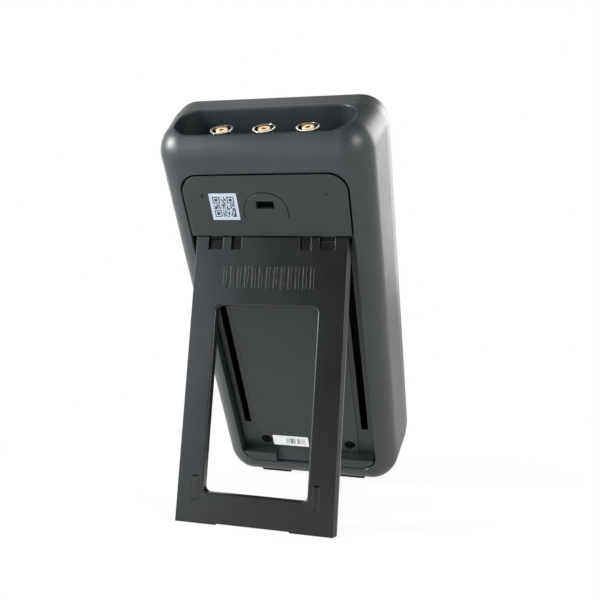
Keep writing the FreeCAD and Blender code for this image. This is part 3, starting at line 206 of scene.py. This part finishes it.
# Circuit boards: the main board on the front shell's posts and the small input board under the jacks,
# both glass-epoxy laminate with black solder mask over etched copper.
def solder_mask(tree):
    """Black lacquer that is paler where copper tracks of 0.5 mm run under it, on a 2.5 mm grid."""
    pitch, weave_size, track_high = 2.5 * MM, 0.4 * MM, 0.03 * MM
    tracks = add(tree, "ShaderNodeTexBrick",
                 {"Vector": upright(tree, grain=(pitch, pitch, pitch)), "Scale": 1.0, "Mortar Size": 0.1,
                  "Brick Width": 3.0, "Row Height": 1.0, "Color1": linear("#101413"),
                  "Color2": linear("#121716"), "Mortar": linear("#222b29")})
    weave = add(tree, "ShaderNodeTexNoise", {"Vector": upright(tree), "Scale": 1 / weave_size})
    rough = add(tree, "ShaderNodeMapRange",
                {"Value": weave.outputs["Fac"], "To Min": 0.25, "To Max": 0.45})
    bump = add(tree, "ShaderNodeBump",
               {"Height": tracks.outputs["Fac"], "Distance": track_high, "Strength": 1.0})
    return add(tree, "ShaderNodeBsdfPrincipled",
               {"Base Color": tracks.outputs["Color"], "IOR": 1.55, "Roughness": rough.outputs[0],
                "Normal": bump.outputs["Normal"]})


dress(surface("black_solder_mask", solder_mask), "main_board", "input_board")

# Tinplate pieces: the screening can soldered on the main board, the charging port's folded shell, and
# the two battery contacts, all stamped from bright tinned steel with faint rolling lines.
tinplate = bare_metal("tinned_sheet_steel", "#a8a9a6", "#c9cac6", gloss=0.32, marks=(0.3, 0.3, 6))
dress(tinplate, "shield_can", "usb_socket", "battery_contact_low", "battery_contact_high")


# Fuses: two glass cartridges with plated caps, snapped into pressed brass clips on the main board. The
# clips and the test-lead sockets' tubes are of the same yellow brass.
def fuse_glass(tree):
    """Clear glass between caps of 5 mm, with faint streaks drawn out along the tube."""
    cap_long, streak_size = 5 * MM, (0.4 * MM, 0.4 * MM, 8 * MM)
    low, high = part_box("fuses")
    length = (to_case @ (high - low)).z
    along = add(tree, "ShaderNodeSeparateXYZ", {0: upright(tree, (low + high) / 2)})
    off = add(tree, "ShaderNodeMath", {0: along.outputs["Z"]}, operation="ABSOLUTE")
    cap = add(tree, "ShaderNodeMath", {0: off.outputs[0], 1: length / 2 - cap_long},
              operation="GREATER_THAN")
    streak = add(tree, "ShaderNodeTexNoise", {"Vector": upright(tree, grain=streak_size), "Scale": 1.0})
    rough = add(tree, "ShaderNodeMapRange",
                {"Value": streak.outputs["Fac"], "To Min": 0.04, "To Max": 0.2})
    colour = add(tree, "ShaderNodeMix", {MIX_FACTOR: cap.outputs[0], MIX_FIRST: linear("#e6ecea"),
                                         MIX_SECOND: linear("#c4c0b6")}, data_type="RGBA")
    clear = add(tree, "ShaderNodeMath", {0: 1.0, 1: cap.outputs[0]}, operation="SUBTRACT")
    return add(tree, "ShaderNodeBsdfPrincipled",
               {"Base Color": colour.outputs[MIX_RESULT], "Metallic": cap.outputs[0],
                "Roughness": rough.outputs[0], "Transmission Weight": clear.outputs[0]})


dress(surface("cartridge_fuse_glass", fuse_glass), "fuses")
SOCKETS = (1, 2, 3, 4)
brass = bare_metal("pressed_brass", "#a98a4c", "#c9ab6a", gloss=0.3, marks=(0.3, 0.3, 4))
dress(brass, "fuse_clips", *(f"socket_sleeve_{index}" for index in SOCKETS))

# Buzzer and display frame: small black mouldings of glass-filled nylon on the main board, dull and a
# little mottled where the fibres lie in the surface.
nylon = moulding("glass_filled_black_nylon", "#17181a", "#222427", "#303336", grit=0.8, relief=0.02,
                 gloss=0.6, edge=0.2, ior=1.54)
dress(nylon, "buzzer", "display_frame")


# Display panel: a liquid-crystal cell clipped in its frame behind the window, dark while it is off,
# with the smooth sheen of glass.
def liquid_crystal(tree):
    """Dark glass with a faint grid. Pixels are about 0.2 mm, drawn here at 1 mm so that they show."""
    pixel, cloud_size = 1 * MM, 20 * MM
    grid = add(tree, "ShaderNodeTexBrick",
               {"Vector": upright(tree, grain=(pixel, pixel, pixel)), "Scale": 1.0, "Mortar Size": 0.08,
                "Brick Width": 1.0, "Row Height": 1.0, "Color1": linear("#20272a"),
                "Color2": linear("#222a2c"), "Mortar": linear("#171c1f")}, offset=0.0)
    cloud = add(tree, "ShaderNodeTexNoise", {"Vector": upright(tree), "Scale": 1 / cloud_size})
    rough = add(tree, "ShaderNodeMapRange",
                {"Value": cloud.outputs["Fac"], "To Min": 0.12, "To Max": 0.2})
    return add(tree, "ShaderNodeBsdfPrincipled", {"Base Color": grid.outputs["Color"], "IOR": 1.52,
                                                  "Roughness": rough.outputs[0]})


dress(surface("dark_liquid_crystal_glass", liquid_crystal), "display_panel")


# Display window: a sheet of hard-coated acrylic glued into the front, with a black border printed on
# its back that leaves the view of the panel clear.
def coated_acrylic(tree):
    """Clear within the printed border, glossy all over, with the faint haze of a wiped surface."""
    view_wide, view_high, wipe_size = 60 * MM, 46 * MM, (3 * MM, 1, 14 * MM)
    low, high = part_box("display_window")
    view = upright(tree, (low + high) / 2, (view_wide / 2, 1, view_high / 2))
    place = add(tree, "ShaderNodeSeparateXYZ", {0: view})
    across = add(tree, "ShaderNodeMath", {0: place.outputs["X"]}, operation="ABSOLUTE")
    along = add(tree, "ShaderNodeMath", {0: place.outputs["Z"]}, operation="ABSOLUTE")
    further = add(tree, "ShaderNodeMath", {0: across.outputs[0], 1: along.outputs[0]},
                  operation="MAXIMUM")
    clear = add(tree, "ShaderNodeMath", {0: further.outputs[0], 1: 1.0}, operation="LESS_THAN")
    colour = add(tree, "ShaderNodeMix", {MIX_FACTOR: clear.outputs[0], MIX_FIRST: linear("#0b0c0d"),
                                         MIX_SECOND: linear("#c8cfd0")}, data_type="RGBA")
    haze = add(tree, "ShaderNodeTexNoise",
               {"Vector": upright(tree, grain=wipe_size), "Scale": 1.0, "Detail": 4.0})
    rough = add(tree, "ShaderNodeMapRange", {"Value": haze.outputs["Fac"], "From Min": 0.35,
                                             "From Max": 0.75, "To Min": 0.015, "To Max": 0.04})
    return add(tree, "ShaderNodeBsdfPrincipled",
               {"Base Color": colour.outputs[MIX_RESULT], "Roughness": rough.outputs[0], "IOR": 1.49,
                "Transmission Weight": clear.outputs[0]})


dress(surface("hard_coated_acrylic", coated_acrylic), "display_window")

# Key mat: one sheet of moulded silicone on the main board, with a dome under each key that springs it
# back. Silicone is dull and evenly grey.
silicone = moulding("grey_silicone_rubber", "#8d9091", "#9a9d9e", "#a5a8a9", grit=0.5, relief=0.015,
                    gloss=0.75, edge=0.4, ior=1.41)
dress(silicone, "keypad_mat")

# Keys: caps of satin ABS, each in its own hole on its own dome, marked with raised white print. The bar
# and round keys are mid grey, and the four arrow keys are paler.
KEY_FINISH = {"grit": 0.35, "relief": 0.006, "gloss": 0.38, "edge": 0.3, "ior": ABS_IOR}
SOFT_KEYS = (1, 2, 3, 4)
MODE_KEYS = (1, 2, 3, 4, 5, 6)
ARROW_TURNS = {"up": 0, "left": 90, "down": 180, "right": 270}
bar_abs = moulding("satin_grey_abs", "#5d6265", "#676c6f", "#7d8285", **KEY_FINISH)
arrow_abs = moulding("satin_pale_grey_abs", "#8a8f91", "#94999b", "#a9adae", **KEY_FINISH)
dress(bar_abs, "power_key", "hold_key", "enter_key", *(f"soft_key_{index}" for index in SOFT_KEYS),
      *(f"mode_key_{index}" for index in MODE_KEYS))
dress(arrow_abs, *(f"arrow_key_{way}" for way in ARROW_TURNS))

# Screen print: a thin coat of matte white ink, pressed through a mesh onto the face of each key, that
# stands a little proud of it.
PRINT_HIGH, PRINT_SUNK, LINE_WIDE, MITRE_LEAST = 0.03, 0.05, 0.45, 0.5
white_print = moulding("white_screen_print", "#d9dbd9", "#e6e7e5", "#e6e7e5", grit=0.25, relief=0.004,
                       gloss=0.55, edge=0.05, ior=1.5)


def arc(radius, first, last, steps=24):
    """Points on a circle between two angles in degrees, in mm."""
    angles = [math.radians(first + (last - first) * step / steps) for step in range(steps + 1)]
    return [(radius * math.cos(angle), radius * math.sin(angle)) for angle in angles]


def line_face(points):
    """The two sides of a printed line along points in mm, mitred at its bends."""
    sides = []
    for index, point in enumerate(points):
        here = Vector(point)
        before = (here - Vector(points[index - 1])).normalized() if index else None
        after = (Vector(points[index + 1]) - here).normalized() if index < len(points) - 1 else None
        way = ((before or after) + (after or before)).normalized()
        square = Vector((-way.y, way.x))
        reach = LINE_WIDE / 2 / max(MITRE_LEAST, way.dot(before or after))
        sides.append((here + square * reach, here - square * reach))
    return [left for left, right in sides], [right for left, right in sides]


def key_print(key, lines=(), patches=()):
    """White print on a key's face: lines with a width and filled patches, from points in mm."""
    low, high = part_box(key)
    middle = to_case @ ((low + high) / 2)
    face = min((to_case @ vertex.co).y for vertex in nodes[key].data.vertices)
    to_world = to_case.transposed()
    ink = bmesh.new()

    def corner(point):
        return ink.verts.new(to_world @ Vector((middle.x + point[0] * MM, face - PRINT_HIGH * MM,
                                                middle.z + point[1] * MM)))

    for points in lines:
        left, right = ([corner(point) for point in side] for side in line_face(points))
        for index in range(len(points) - 1):
            ink.faces.new((left[index], left[index + 1], right[index + 1], right[index]))
    for points in patches:
        ink.faces.new([corner(point) for point in points])
    bmesh.ops.recalc_face_normals(ink, faces=ink.faces)
    sunk = bmesh.ops.extrude_face_region(ink, geom=list(ink.faces))
    moved = [piece for piece in sunk["geom"] if isinstance(piece, bmesh.types.BMVert)]
    bmesh.ops.translate(ink, verts=moved, vec=to_world @ Vector((0, PRINT_SUNK * MM, 0)))
    bmesh.ops.recalc_face_normals(ink, faces=ink.faces)
    mesh = bpy.data.meshes.new(f"{key}_print")
    ink.to_mesh(mesh)
    ink.free()
    mesh.materials.append(white_print)
    piece = bpy.data.objects.new(f"{key}_print", mesh)
    bpy.context.scene.collection.objects.link(piece)
    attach(piece, f"{key}_body")


# The marks, from points in mm: arrows, a ring, the stroke and arc for power, two bars for hold, a dash
# on each soft key, and on the mode keys the signs for a sine wave, a square wave, direct current, a
# resistor, a capacitor and a diode.
ARROW = ((0, 1.6), (-1.7, -1.1), (1.7, -1.1))
for way, turn in ARROW_TURNS.items():
    swing = Matrix.Rotation(math.radians(turn), 2)
    key_print(f"arrow_key_{way}", patches=[[swing @ Vector(point) for point in ARROW]])
key_print("enter_key", lines=[arc(1.5, 0, 360)])
key_print("power_key", lines=[arc(1.7, 125, 415), [(0, 0.6), (0, 2.3)]])
key_print("hold_key", lines=[[(-0.7, -1.4), (-0.7, 1.4)], [(0.7, -1.4), (0.7, 1.4)]])
for index in SOFT_KEYS:
    key_print(f"soft_key_{index}", lines=[[(-2.2, 0), (2.2, 0)]])
sine = [(step * 0.25 - 3, 1.3 * math.sin(step * math.pi / 12)) for step in range(25)]
key_print("mode_key_1", lines=[sine])
square_wave = [(-3, -1.2), (-1.5, -1.2), (-1.5, 1.2), (0, 1.2), (0, -1.2), (1.5, -1.2), (1.5, 1.2),
               (3, 1.2)]
key_print("mode_key_2", lines=[square_wave])
steady = [(-2.6, 0.7), (2.6, 0.7)]
dashes = [[(-2.6, -0.7), (-1.2, -0.7)], [(-0.7, -0.7), (0.7, -0.7)], [(1.2, -0.7), (2.6, -0.7)]]
key_print("mode_key_3", lines=[steady] + dashes)
zigzag = [(step * 0.8 - 1.8, 1.2 if step % 2 == 0 else -1.2) for step in range(5)]
key_print("mode_key_4", lines=[[(-3.4, 0), (-2.2, 0)] + zigzag + [(2.0, 0), (3.4, 0)]])
plates = [[(-0.5, -1.6), (-0.5, 1.6)], [(0.5, -1.6), (0.5, 1.6)]]
key_print("mode_key_5", lines=[[(-3, 0), (-0.5, 0)]] + plates + [[(0.5, 0), (3, 0)]])
key_print("mode_key_6", lines=[[(-3, 0), (3, 0)], [(1.1, -1.4), (1.1, 1.4)]],
          patches=[[(-1.1, 1.4), (-1.1, -1.4), (1.0, 0)]])

# Test-lead sockets: four brass tubes soldered in the main board, each in a coloured nylon collar that
# shows on the front. The common socket is black and the others are red.
COLLAR_FINISH = {"grit": 0.4, "relief": 0.01, "gloss": 0.42, "edge": 0.3, "ior": 1.53}
red_nylon = moulding("moulded_red_nylon", "#8a1a18", "#9c211e", "#ad3d38", **COLLAR_FINISH)
black_nylon = moulding("moulded_black_nylon", "#17181a", "#1f2123", "#34373a", **COLLAR_FINISH)
dress(red_nylon, "socket_collar_1", "socket_collar_2", "socket_collar_4")
dress(black_nylon, "socket_collar_3")


# Battery: two lithium cells side by side in the tub under the rear cover, each in a plastic sleeve
# shrunk over its can.
def shrunk_sleeve(tree):
    """A tight blue film with faint rings every 6 mm where it shrank over the can."""
    ring_pitch, ring_high = 6 * MM, 0.02 * MM
    # At a scale of 1 the wave repeats after this length.
    wave_long = 2 * math.pi / 20
    rings = add(tree, "ShaderNodeTexWave", {"Vector": upright(tree), "Scale": wave_long / ring_pitch,
                                            "Distortion": 1.5, "Detail": 2.0}, bands_direction="Z")
    colour = add(tree, "ShaderNodeMix", {MIX_FACTOR: rings.outputs["Fac"], MIX_FIRST: linear("#2c4f86"),
                                         MIX_SECOND: linear("#33599a")}, data_type="RGBA")
    rough = add(tree, "ShaderNodeMapRange",
                {"Value": rings.outputs["Fac"], "To Min": 0.22, "To Max": 0.34})
    bump = add(tree, "ShaderNodeBump",
               {"Height": rings.outputs["Fac"], "Distance": ring_high, "Strength": 1.0})
    return add(tree, "ShaderNodeBsdfPrincipled",
               {"Base Color": colour.outputs[MIX_RESULT], "Roughness": rough.outputs[0], "IOR": 1.5,
                "Normal": bump.outputs["Normal"]})


dress(surface("blue_shrink_sleeve", shrunk_sleeve), "battery_cell_1", "battery_cell_2")

# Rear cover: a second moulding of the same ABS, a touch finer, set flush in its bay. It has the stand's
# recess and ears, the security slot in an engraved ring, and a cup for each of its two screws.
cover_abs = moulding("fine_textured_black_abs", "#131819", "#181f1f", "#2d3535", grit=0.4, relief=0.015,
                     gloss=0.44, edge=0.25, ior=ABS_IOR)
dress(cover_abs, "rear_cover")

# Screws: two short ones through the cover, four long ones through both shells, all of blackened steel
# with a driver cross. The black oxide is dull, with a faint mottle.
black_steel = bare_metal("black_oxide_steel", "#1b1b1c", "#2c2c2d", gloss=0.42, marks=(0.5, 0.5, 0.5))
dress(black_steel, "cover_screws", "case_screws")


# Square label: a polyester sticker on the cover's upper panel, bluish white, with a made-up block of
# square cells printed in its middle and a target square in three of its corners.
def cell_print(tree):
    """Printed film: cells of 0.45 mm, 21 each way, dark at random, on a satin white ground."""
    cell, blank_share, film_size, film_high = 0.45 * MM, 0.5, 0.6 * MM, 0.01 * MM
    # Counted in cells from the middle of the block or of a target.
    half_cell, block_reach, target_reach, margin = (0.5, 0.0, 0.5), 10.5, 3.5, 1
    ring_middle, ring_half, core_reach = 3.0, 0.5, 1.5
    low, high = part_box("code_label")
    spot = upright(tree, (low + high) / 2, (cell, 1, cell))
    nearest = add(tree, "ShaderNodeVectorMath", {0: spot, 1: half_cell}, operation="ADD")
    square = add(tree, "ShaderNodeVectorMath", {0: nearest.outputs[0]}, operation="FLOOR")
    flat = add(tree, "ShaderNodeVectorMath", {0: square.outputs[0], 1: (1, 0, 1)}, operation="MULTIPLY")
    chance = add(tree, "ShaderNodeTexWhiteNoise", {"Vector": flat.outputs[0]})
    inked = add(tree, "ShaderNodeMath", {0: chance.outputs["Value"], 1: blank_share},
                operation="GREATER_THAN").outputs[0]

    def far_from(point):
        """How far a cell lies from a point, counted in cells along the longer way."""
        away = add(tree, "ShaderNodeVectorMath", {0: spot, 1: point}, operation="SUBTRACT")
        size = add(tree, "ShaderNodeVectorMath", {0: away.outputs[0]}, operation="ABSOLUTE")
        parts = add(tree, "ShaderNodeSeparateXYZ", {0: size.outputs[0]})
        return add(tree, "ShaderNodeMath", {0: parts.outputs["X"], 1: parts.outputs["Z"]},
                   operation="MAXIMUM").outputs[0]

    inside = add(tree, "ShaderNodeMath", {0: far_from((0, 0, 0)), 1: block_reach}, operation="LESS_THAN")
    inked = add(tree, "ShaderNodeMath", {0: inked, 1: inside.outputs[0]}, operation="MULTIPLY").outputs[0]
    offset = block_reach - target_reach
    for corner in ((offset, 0, offset), (-offset, 0, offset), (offset, 0, -offset)):
        away = far_from(corner)
        ring = add(tree, "ShaderNodeMath", {0: away, 1: ring_middle, 2: ring_half}, operation="COMPARE")
        core = add(tree, "ShaderNodeMath", {0: away, 1: core_reach}, operation="LESS_THAN")
        target = add(tree, "ShaderNodeMath", {0: ring.outputs[0], 1: core.outputs[0]},
                     operation="MAXIMUM")
        beyond = add(tree, "ShaderNodeMath", {0: away, 1: target_reach + margin},
                     operation="GREATER_THAN")
        kept = add(tree, "ShaderNodeMath", {0: inked, 1: beyond.outputs[0]}, operation="MULTIPLY")
        inked = add(tree, "ShaderNodeMath", {0: kept.outputs[0], 1: target.outputs[0]},
                    operation="MAXIMUM").outputs[0]
    colour = add(tree, "ShaderNodeMix", {MIX_FACTOR: inked, MIX_FIRST: linear("#9fa9b4"),
                                         MIX_SECOND: linear("#23282d")}, data_type="RGBA")
    film = add(tree, "ShaderNodeTexNoise", {"Vector": upright(tree), "Scale": 1 / film_size})
    rough = add(tree, "ShaderNodeMapRange", {"Value": film.outputs["Fac"], "To Min": 0.35, "To Max": 0.5})
    bump = add(tree, "ShaderNodeBump",
               {"Height": film.outputs["Fac"], "Distance": film_high, "Strength": 1.0})
    return add(tree, "ShaderNodeBsdfPrincipled",
               {"Base Color": colour.outputs[MIX_RESULT], "Roughness": rough.outputs[0], "IOR": 1.5,
                "Normal": bump.outputs["Normal"]})


dress(surface("printed_polyester_film", cell_print), "code_label")


# Strip label: a white paper sticker on the recess floor, behind the stand, matte and faintly fibrous,
# with a run of plain grey bars.
def bar_print(tree):
    """Matte paper with bars of 0.25 mm and up, drawn in cells of 0.25 mm, near the strip's end."""
    cell, blank_share, fibre_size = 0.25 * MM, 0.5, 0.3 * MM
    bars_wide, bars_high, bars_off = 10.5 * MM, 3.8 * MM, Vector((-2.6 * MM, 0, 0))
    low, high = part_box("serial_label")
    spot = upright(tree, (low + high) / 2 + bars_off, (cell, 1, cell))
    parts = add(tree, "ShaderNodeSeparateXYZ", {0: spot})
    column = add(tree, "ShaderNodeMath", {0: parts.outputs["X"]}, operation="FLOOR")
    chance = add(tree, "ShaderNodeTexWhiteNoise", {"W": column.outputs[0]}, noise_dimensions="1D")
    inked = add(tree, "ShaderNodeMath", {0: chance.outputs["Value"], 1: blank_share},
                operation="GREATER_THAN").outputs[0]
    for way, size in (("X", bars_wide), ("Z", bars_high)):
        off = add(tree, "ShaderNodeMath", {0: parts.outputs[way]}, operation="ABSOLUTE")
        within = add(tree, "ShaderNodeMath", {0: off.outputs[0], 1: size / cell / 2},
                     operation="LESS_THAN")
        inked = add(tree, "ShaderNodeMath", {0: inked, 1: within.outputs[0]},
                    operation="MULTIPLY").outputs[0]
    fibre = add(tree, "ShaderNodeTexNoise",
                {"Vector": upright(tree), "Scale": 1 / fibre_size, "Detail": 3.0})
    paper = add(tree, "ShaderNodeMix", {MIX_FACTOR: fibre.outputs["Fac"], MIX_FIRST: linear("#d0d1ce"),
                                        MIX_SECOND: linear("#d9d9d6")}, data_type="RGBA")
    colour = add(tree, "ShaderNodeMix", {MIX_FACTOR: inked, MIX_FIRST: paper.outputs[MIX_RESULT],
                                         MIX_SECOND: linear("#747776")}, data_type="RGBA")
    rough = add(tree, "ShaderNodeMapRange", {"Value": fibre.outputs["Fac"], "To Min": 0.6, "To Max": 0.8})
    return add(tree, "ShaderNodeBsdfPrincipled",
               {"Base Color": colour.outputs[MIX_RESULT], "Roughness": rough.outputs[0], "IOR": 1.5})


dress(surface("matte_white_paper", bar_print), "serial_label")

# Kickstand: one flat moulding of smoother black ABS, polished in its mould, with a window to reach the
# bay through, grip ribs at its top and pads on its legs. It swings on two steel pins in the cover's
# ears.
stand_abs = moulding("satin_black_abs", "#050805", "#070a07", "#161a17", grit=0.6, relief=0.004,
                     gloss=0.31, edge=0.2, ior=ABS_IOR)
dress(stand_abs, "kickstand")
dress(black_steel, "hinge_pins")

# Feet: two tapered pads of moulded rubber, glued under the bottom end and flat where they meet the
# table. Rubber is dull, a shade darker than the case, with a fine stipple.
foot_rubber = moulding("moulded_black_rubber", "#0b0c0d", "#0f1011", "#1e2021", grit=0.5, relief=0.03,
                       gloss=0.8, edge=0.5, ior=1.52)
dress(foot_rubber, "bottom_feet")

# Table top: plain white laminate. It is white to the camera and nearly so in reflections, and close to
# the object it keeps a little of the object's shadow.
scene = bpy.context.scene
TABLE_HALF, SHADOW_REACH, FADE_END, NEAR_WHITE, MIRRORED_WHITE = 3000, 90, 190, 0.9, 0.6
half = TABLE_HALF * MM
table_mesh = bpy.data.meshes.new("table_top")
table_mesh.from_pydata([(-half, -half, 0), (half, -half, 0), (half, half, 0), (-half, half, 0)], [],
                       [(0, 1, 2, 3)])
table = bpy.data.objects.new("table_top", table_mesh)
scene.collection.objects.link(table)


def white_laminate(tree):
    """Plain white where the camera looks, and a matte white that takes shadows for other light."""
    rays = add(tree, "ShaderNodeLightPath")
    seen = add(tree, "ShaderNodeMath",
               {0: rays.outputs["Is Camera Ray"], 1: rays.outputs["Is Transmission Ray"]},
               operation="MAXIMUM")
    glossy = add(tree, "ShaderNodeMath", {0: rays.outputs["Is Glossy Ray"], 1: MIRRORED_WHITE},
                 operation="MULTIPLY")
    shown = add(tree, "ShaderNodeMath", {0: seen.outputs[0], 1: glossy.outputs[0]}, operation="MAXIMUM")
    spot = add(tree, "ShaderNodeTexCoord").outputs["Object"]
    away = add(tree, "ShaderNodeVectorMath", {0: spot}, operation="LENGTH")
    clear = add(tree, "ShaderNodeMapRange",
                {"Value": away.outputs["Value"], "From Min": SHADOW_REACH * MM, "From Max": FADE_END * MM,
                 "To Min": NEAR_WHITE, "To Max": 1.0})
    lit = add(tree, "ShaderNodeMath", {0: shown.outputs[0], 1: clear.outputs[0]}, operation="MULTIPLY")
    matte = add(tree, "ShaderNodeBsdfDiffuse", {"Color": linear("#f2f2f0")})
    white = add(tree, "ShaderNodeEmission", {"Color": linear("#ffffff"), "Strength": 1.0})
    return add(tree, "ShaderNodeMixShader", {0: lit.outputs[0], 1: matte.outputs[0], 2: white.outputs[0]})


table_mesh.materials.append(surface("white_laminate", white_laminate))

# Room: white paper all round, which the camera and the glossy pieces see, with a dim ceiling, which the
# top end mirrors, and a dark side behind the camera, which the flat stand mirrors.
scene.view_settings.view_transform = "Standard"
ROOM_LIGHT, ROOM_WHITE, DARK_SIDE, CEILING = 0.34, 1.0, 0.04, 0.1
world = bpy.data.worlds.new("white_studio")
scene.world = world
world.use_nodes = True
sky = world.node_tree
sky.nodes.clear()
rays = add(sky, "ShaderNodeLightPath")
way = add(sky, "ShaderNodeSeparateXYZ", {0: add(sky, "ShaderNodeTexCoord").outputs["Generated"]})
shade = add(sky, "ShaderNodeMapRange",
            {"Value": way.outputs["Y"], "From Min": 0.3, "From Max": 0.85, "To Min": ROOM_WHITE,
             "To Max": DARK_SIDE}, interpolation_type="SMOOTHSTEP")
above = add(sky, "ShaderNodeMapRange",
            {"Value": way.outputs["Z"], "From Min": 0.55, "From Max": 0.95, "To Min": 1.0,
             "To Max": CEILING}, interpolation_type="SMOOTHSTEP")
dimmed = add(sky, "ShaderNodeMath", {0: shade.outputs[0], 1: above.outputs[0]}, operation="MULTIPLY")
shown = add(sky, "ShaderNodeMath",
            {0: rays.outputs["Is Glossy Ray"], 1: rays.outputs["Is Transmission Ray"]},
            operation="MAXIMUM")
paper = add(sky, "ShaderNodeBackground", {"Color": linear("#ffffff"), "Strength": ROOM_LIGHT})
mirrored = add(sky, "ShaderNodeBackground", {"Color": linear("#ffffff"), "Strength": dimmed.outputs[0]})
backdrop = add(sky, "ShaderNodeBackground", {"Color": linear("#ffffff"), "Strength": ROOM_WHITE})
bounced = add(sky, "ShaderNodeMixShader",
              {0: shown.outputs[0], 1: paper.outputs[0], 2: mirrored.outputs[0]})
seen = add(sky, "ShaderNodeMixShader",
           {0: rays.outputs["Is Camera Ray"], 1: bounced.outputs[0], 2: backdrop.outputs[0]})
add(sky, "ShaderNodeOutputWorld", {"Surface": seen.outputs[0]})


# Lamps: two soft boxes that light the case's upper corners, a wide panel behind each side of it and one
# behind its middle, whose light runs along the edges, a wide cool box in front on the left, and a weak
# one overhead that the jacks' rims mirror.
def softbox(name, place, size, watts, colour):
    """A square soft light at a place in mm, turned to the middle of the object."""
    middle = Vector((0, 0, 90))
    lamp = bpy.data.lights.new(name, "AREA")
    lamp.shape = "SQUARE"
    lamp.size = size * MM
    lamp.energy = watts
    lamp.color = linear(colour)[:3]
    light = bpy.data.objects.new(name, lamp)
    light.location = Vector(place) * MM
    light.rotation_euler = (middle - Vector(place)).to_track_quat("-Z", "Y").to_euler()
    light.visible_camera = False
    scene.collection.objects.link(light)


softbox("right_softbox", (-810, 670, 365), 180, 6, "#ffffff")
softbox("right_panel", (-574, -761, 650), 480, 6, "#ffffff")
softbox("back_panel", (-330, -1000, 330), 420, 1.5, "#ffffff")
softbox("left_panel", (710, -670, 320), 420, 2.5, "#ffffff")
softbox("left_softbox", (700, 900, 210), 420, 3.7, "#e2eeff")
softbox("corner_softbox", (860, 560, 440), 300, 18, "#ffffff")
softbox("jack_softbox", (289, -464, 973), 190, 0.15, "#ffffff")

# Camera: a plain 44 mm lens on a 36 mm frame, where the photograph was taken from, behind the meter and
# a little to its left, level with its middle.
EYE, AHEAD, ROLL, LENS, SENSOR = (-92.1, 345.6, 90.9), (0.2543, -0.9671, 0.0081), 1.73, 44.08, 36.0
lens = bpy.data.cameras.new("photo_camera")
lens.sensor_width = SENSOR
lens.lens = LENS
camera = bpy.data.objects.new("photo_camera", lens)
camera.location = Vector(EYE) * MM
camera.rotation_mode = "QUATERNION"
level = Vector(AHEAD).to_track_quat("-Z", "Y")
camera.rotation_quaternion = level @ Quaternion((0, 0, 1), math.radians(ROLL))
scene.collection.objects.link(camera)
scene.camera = camera
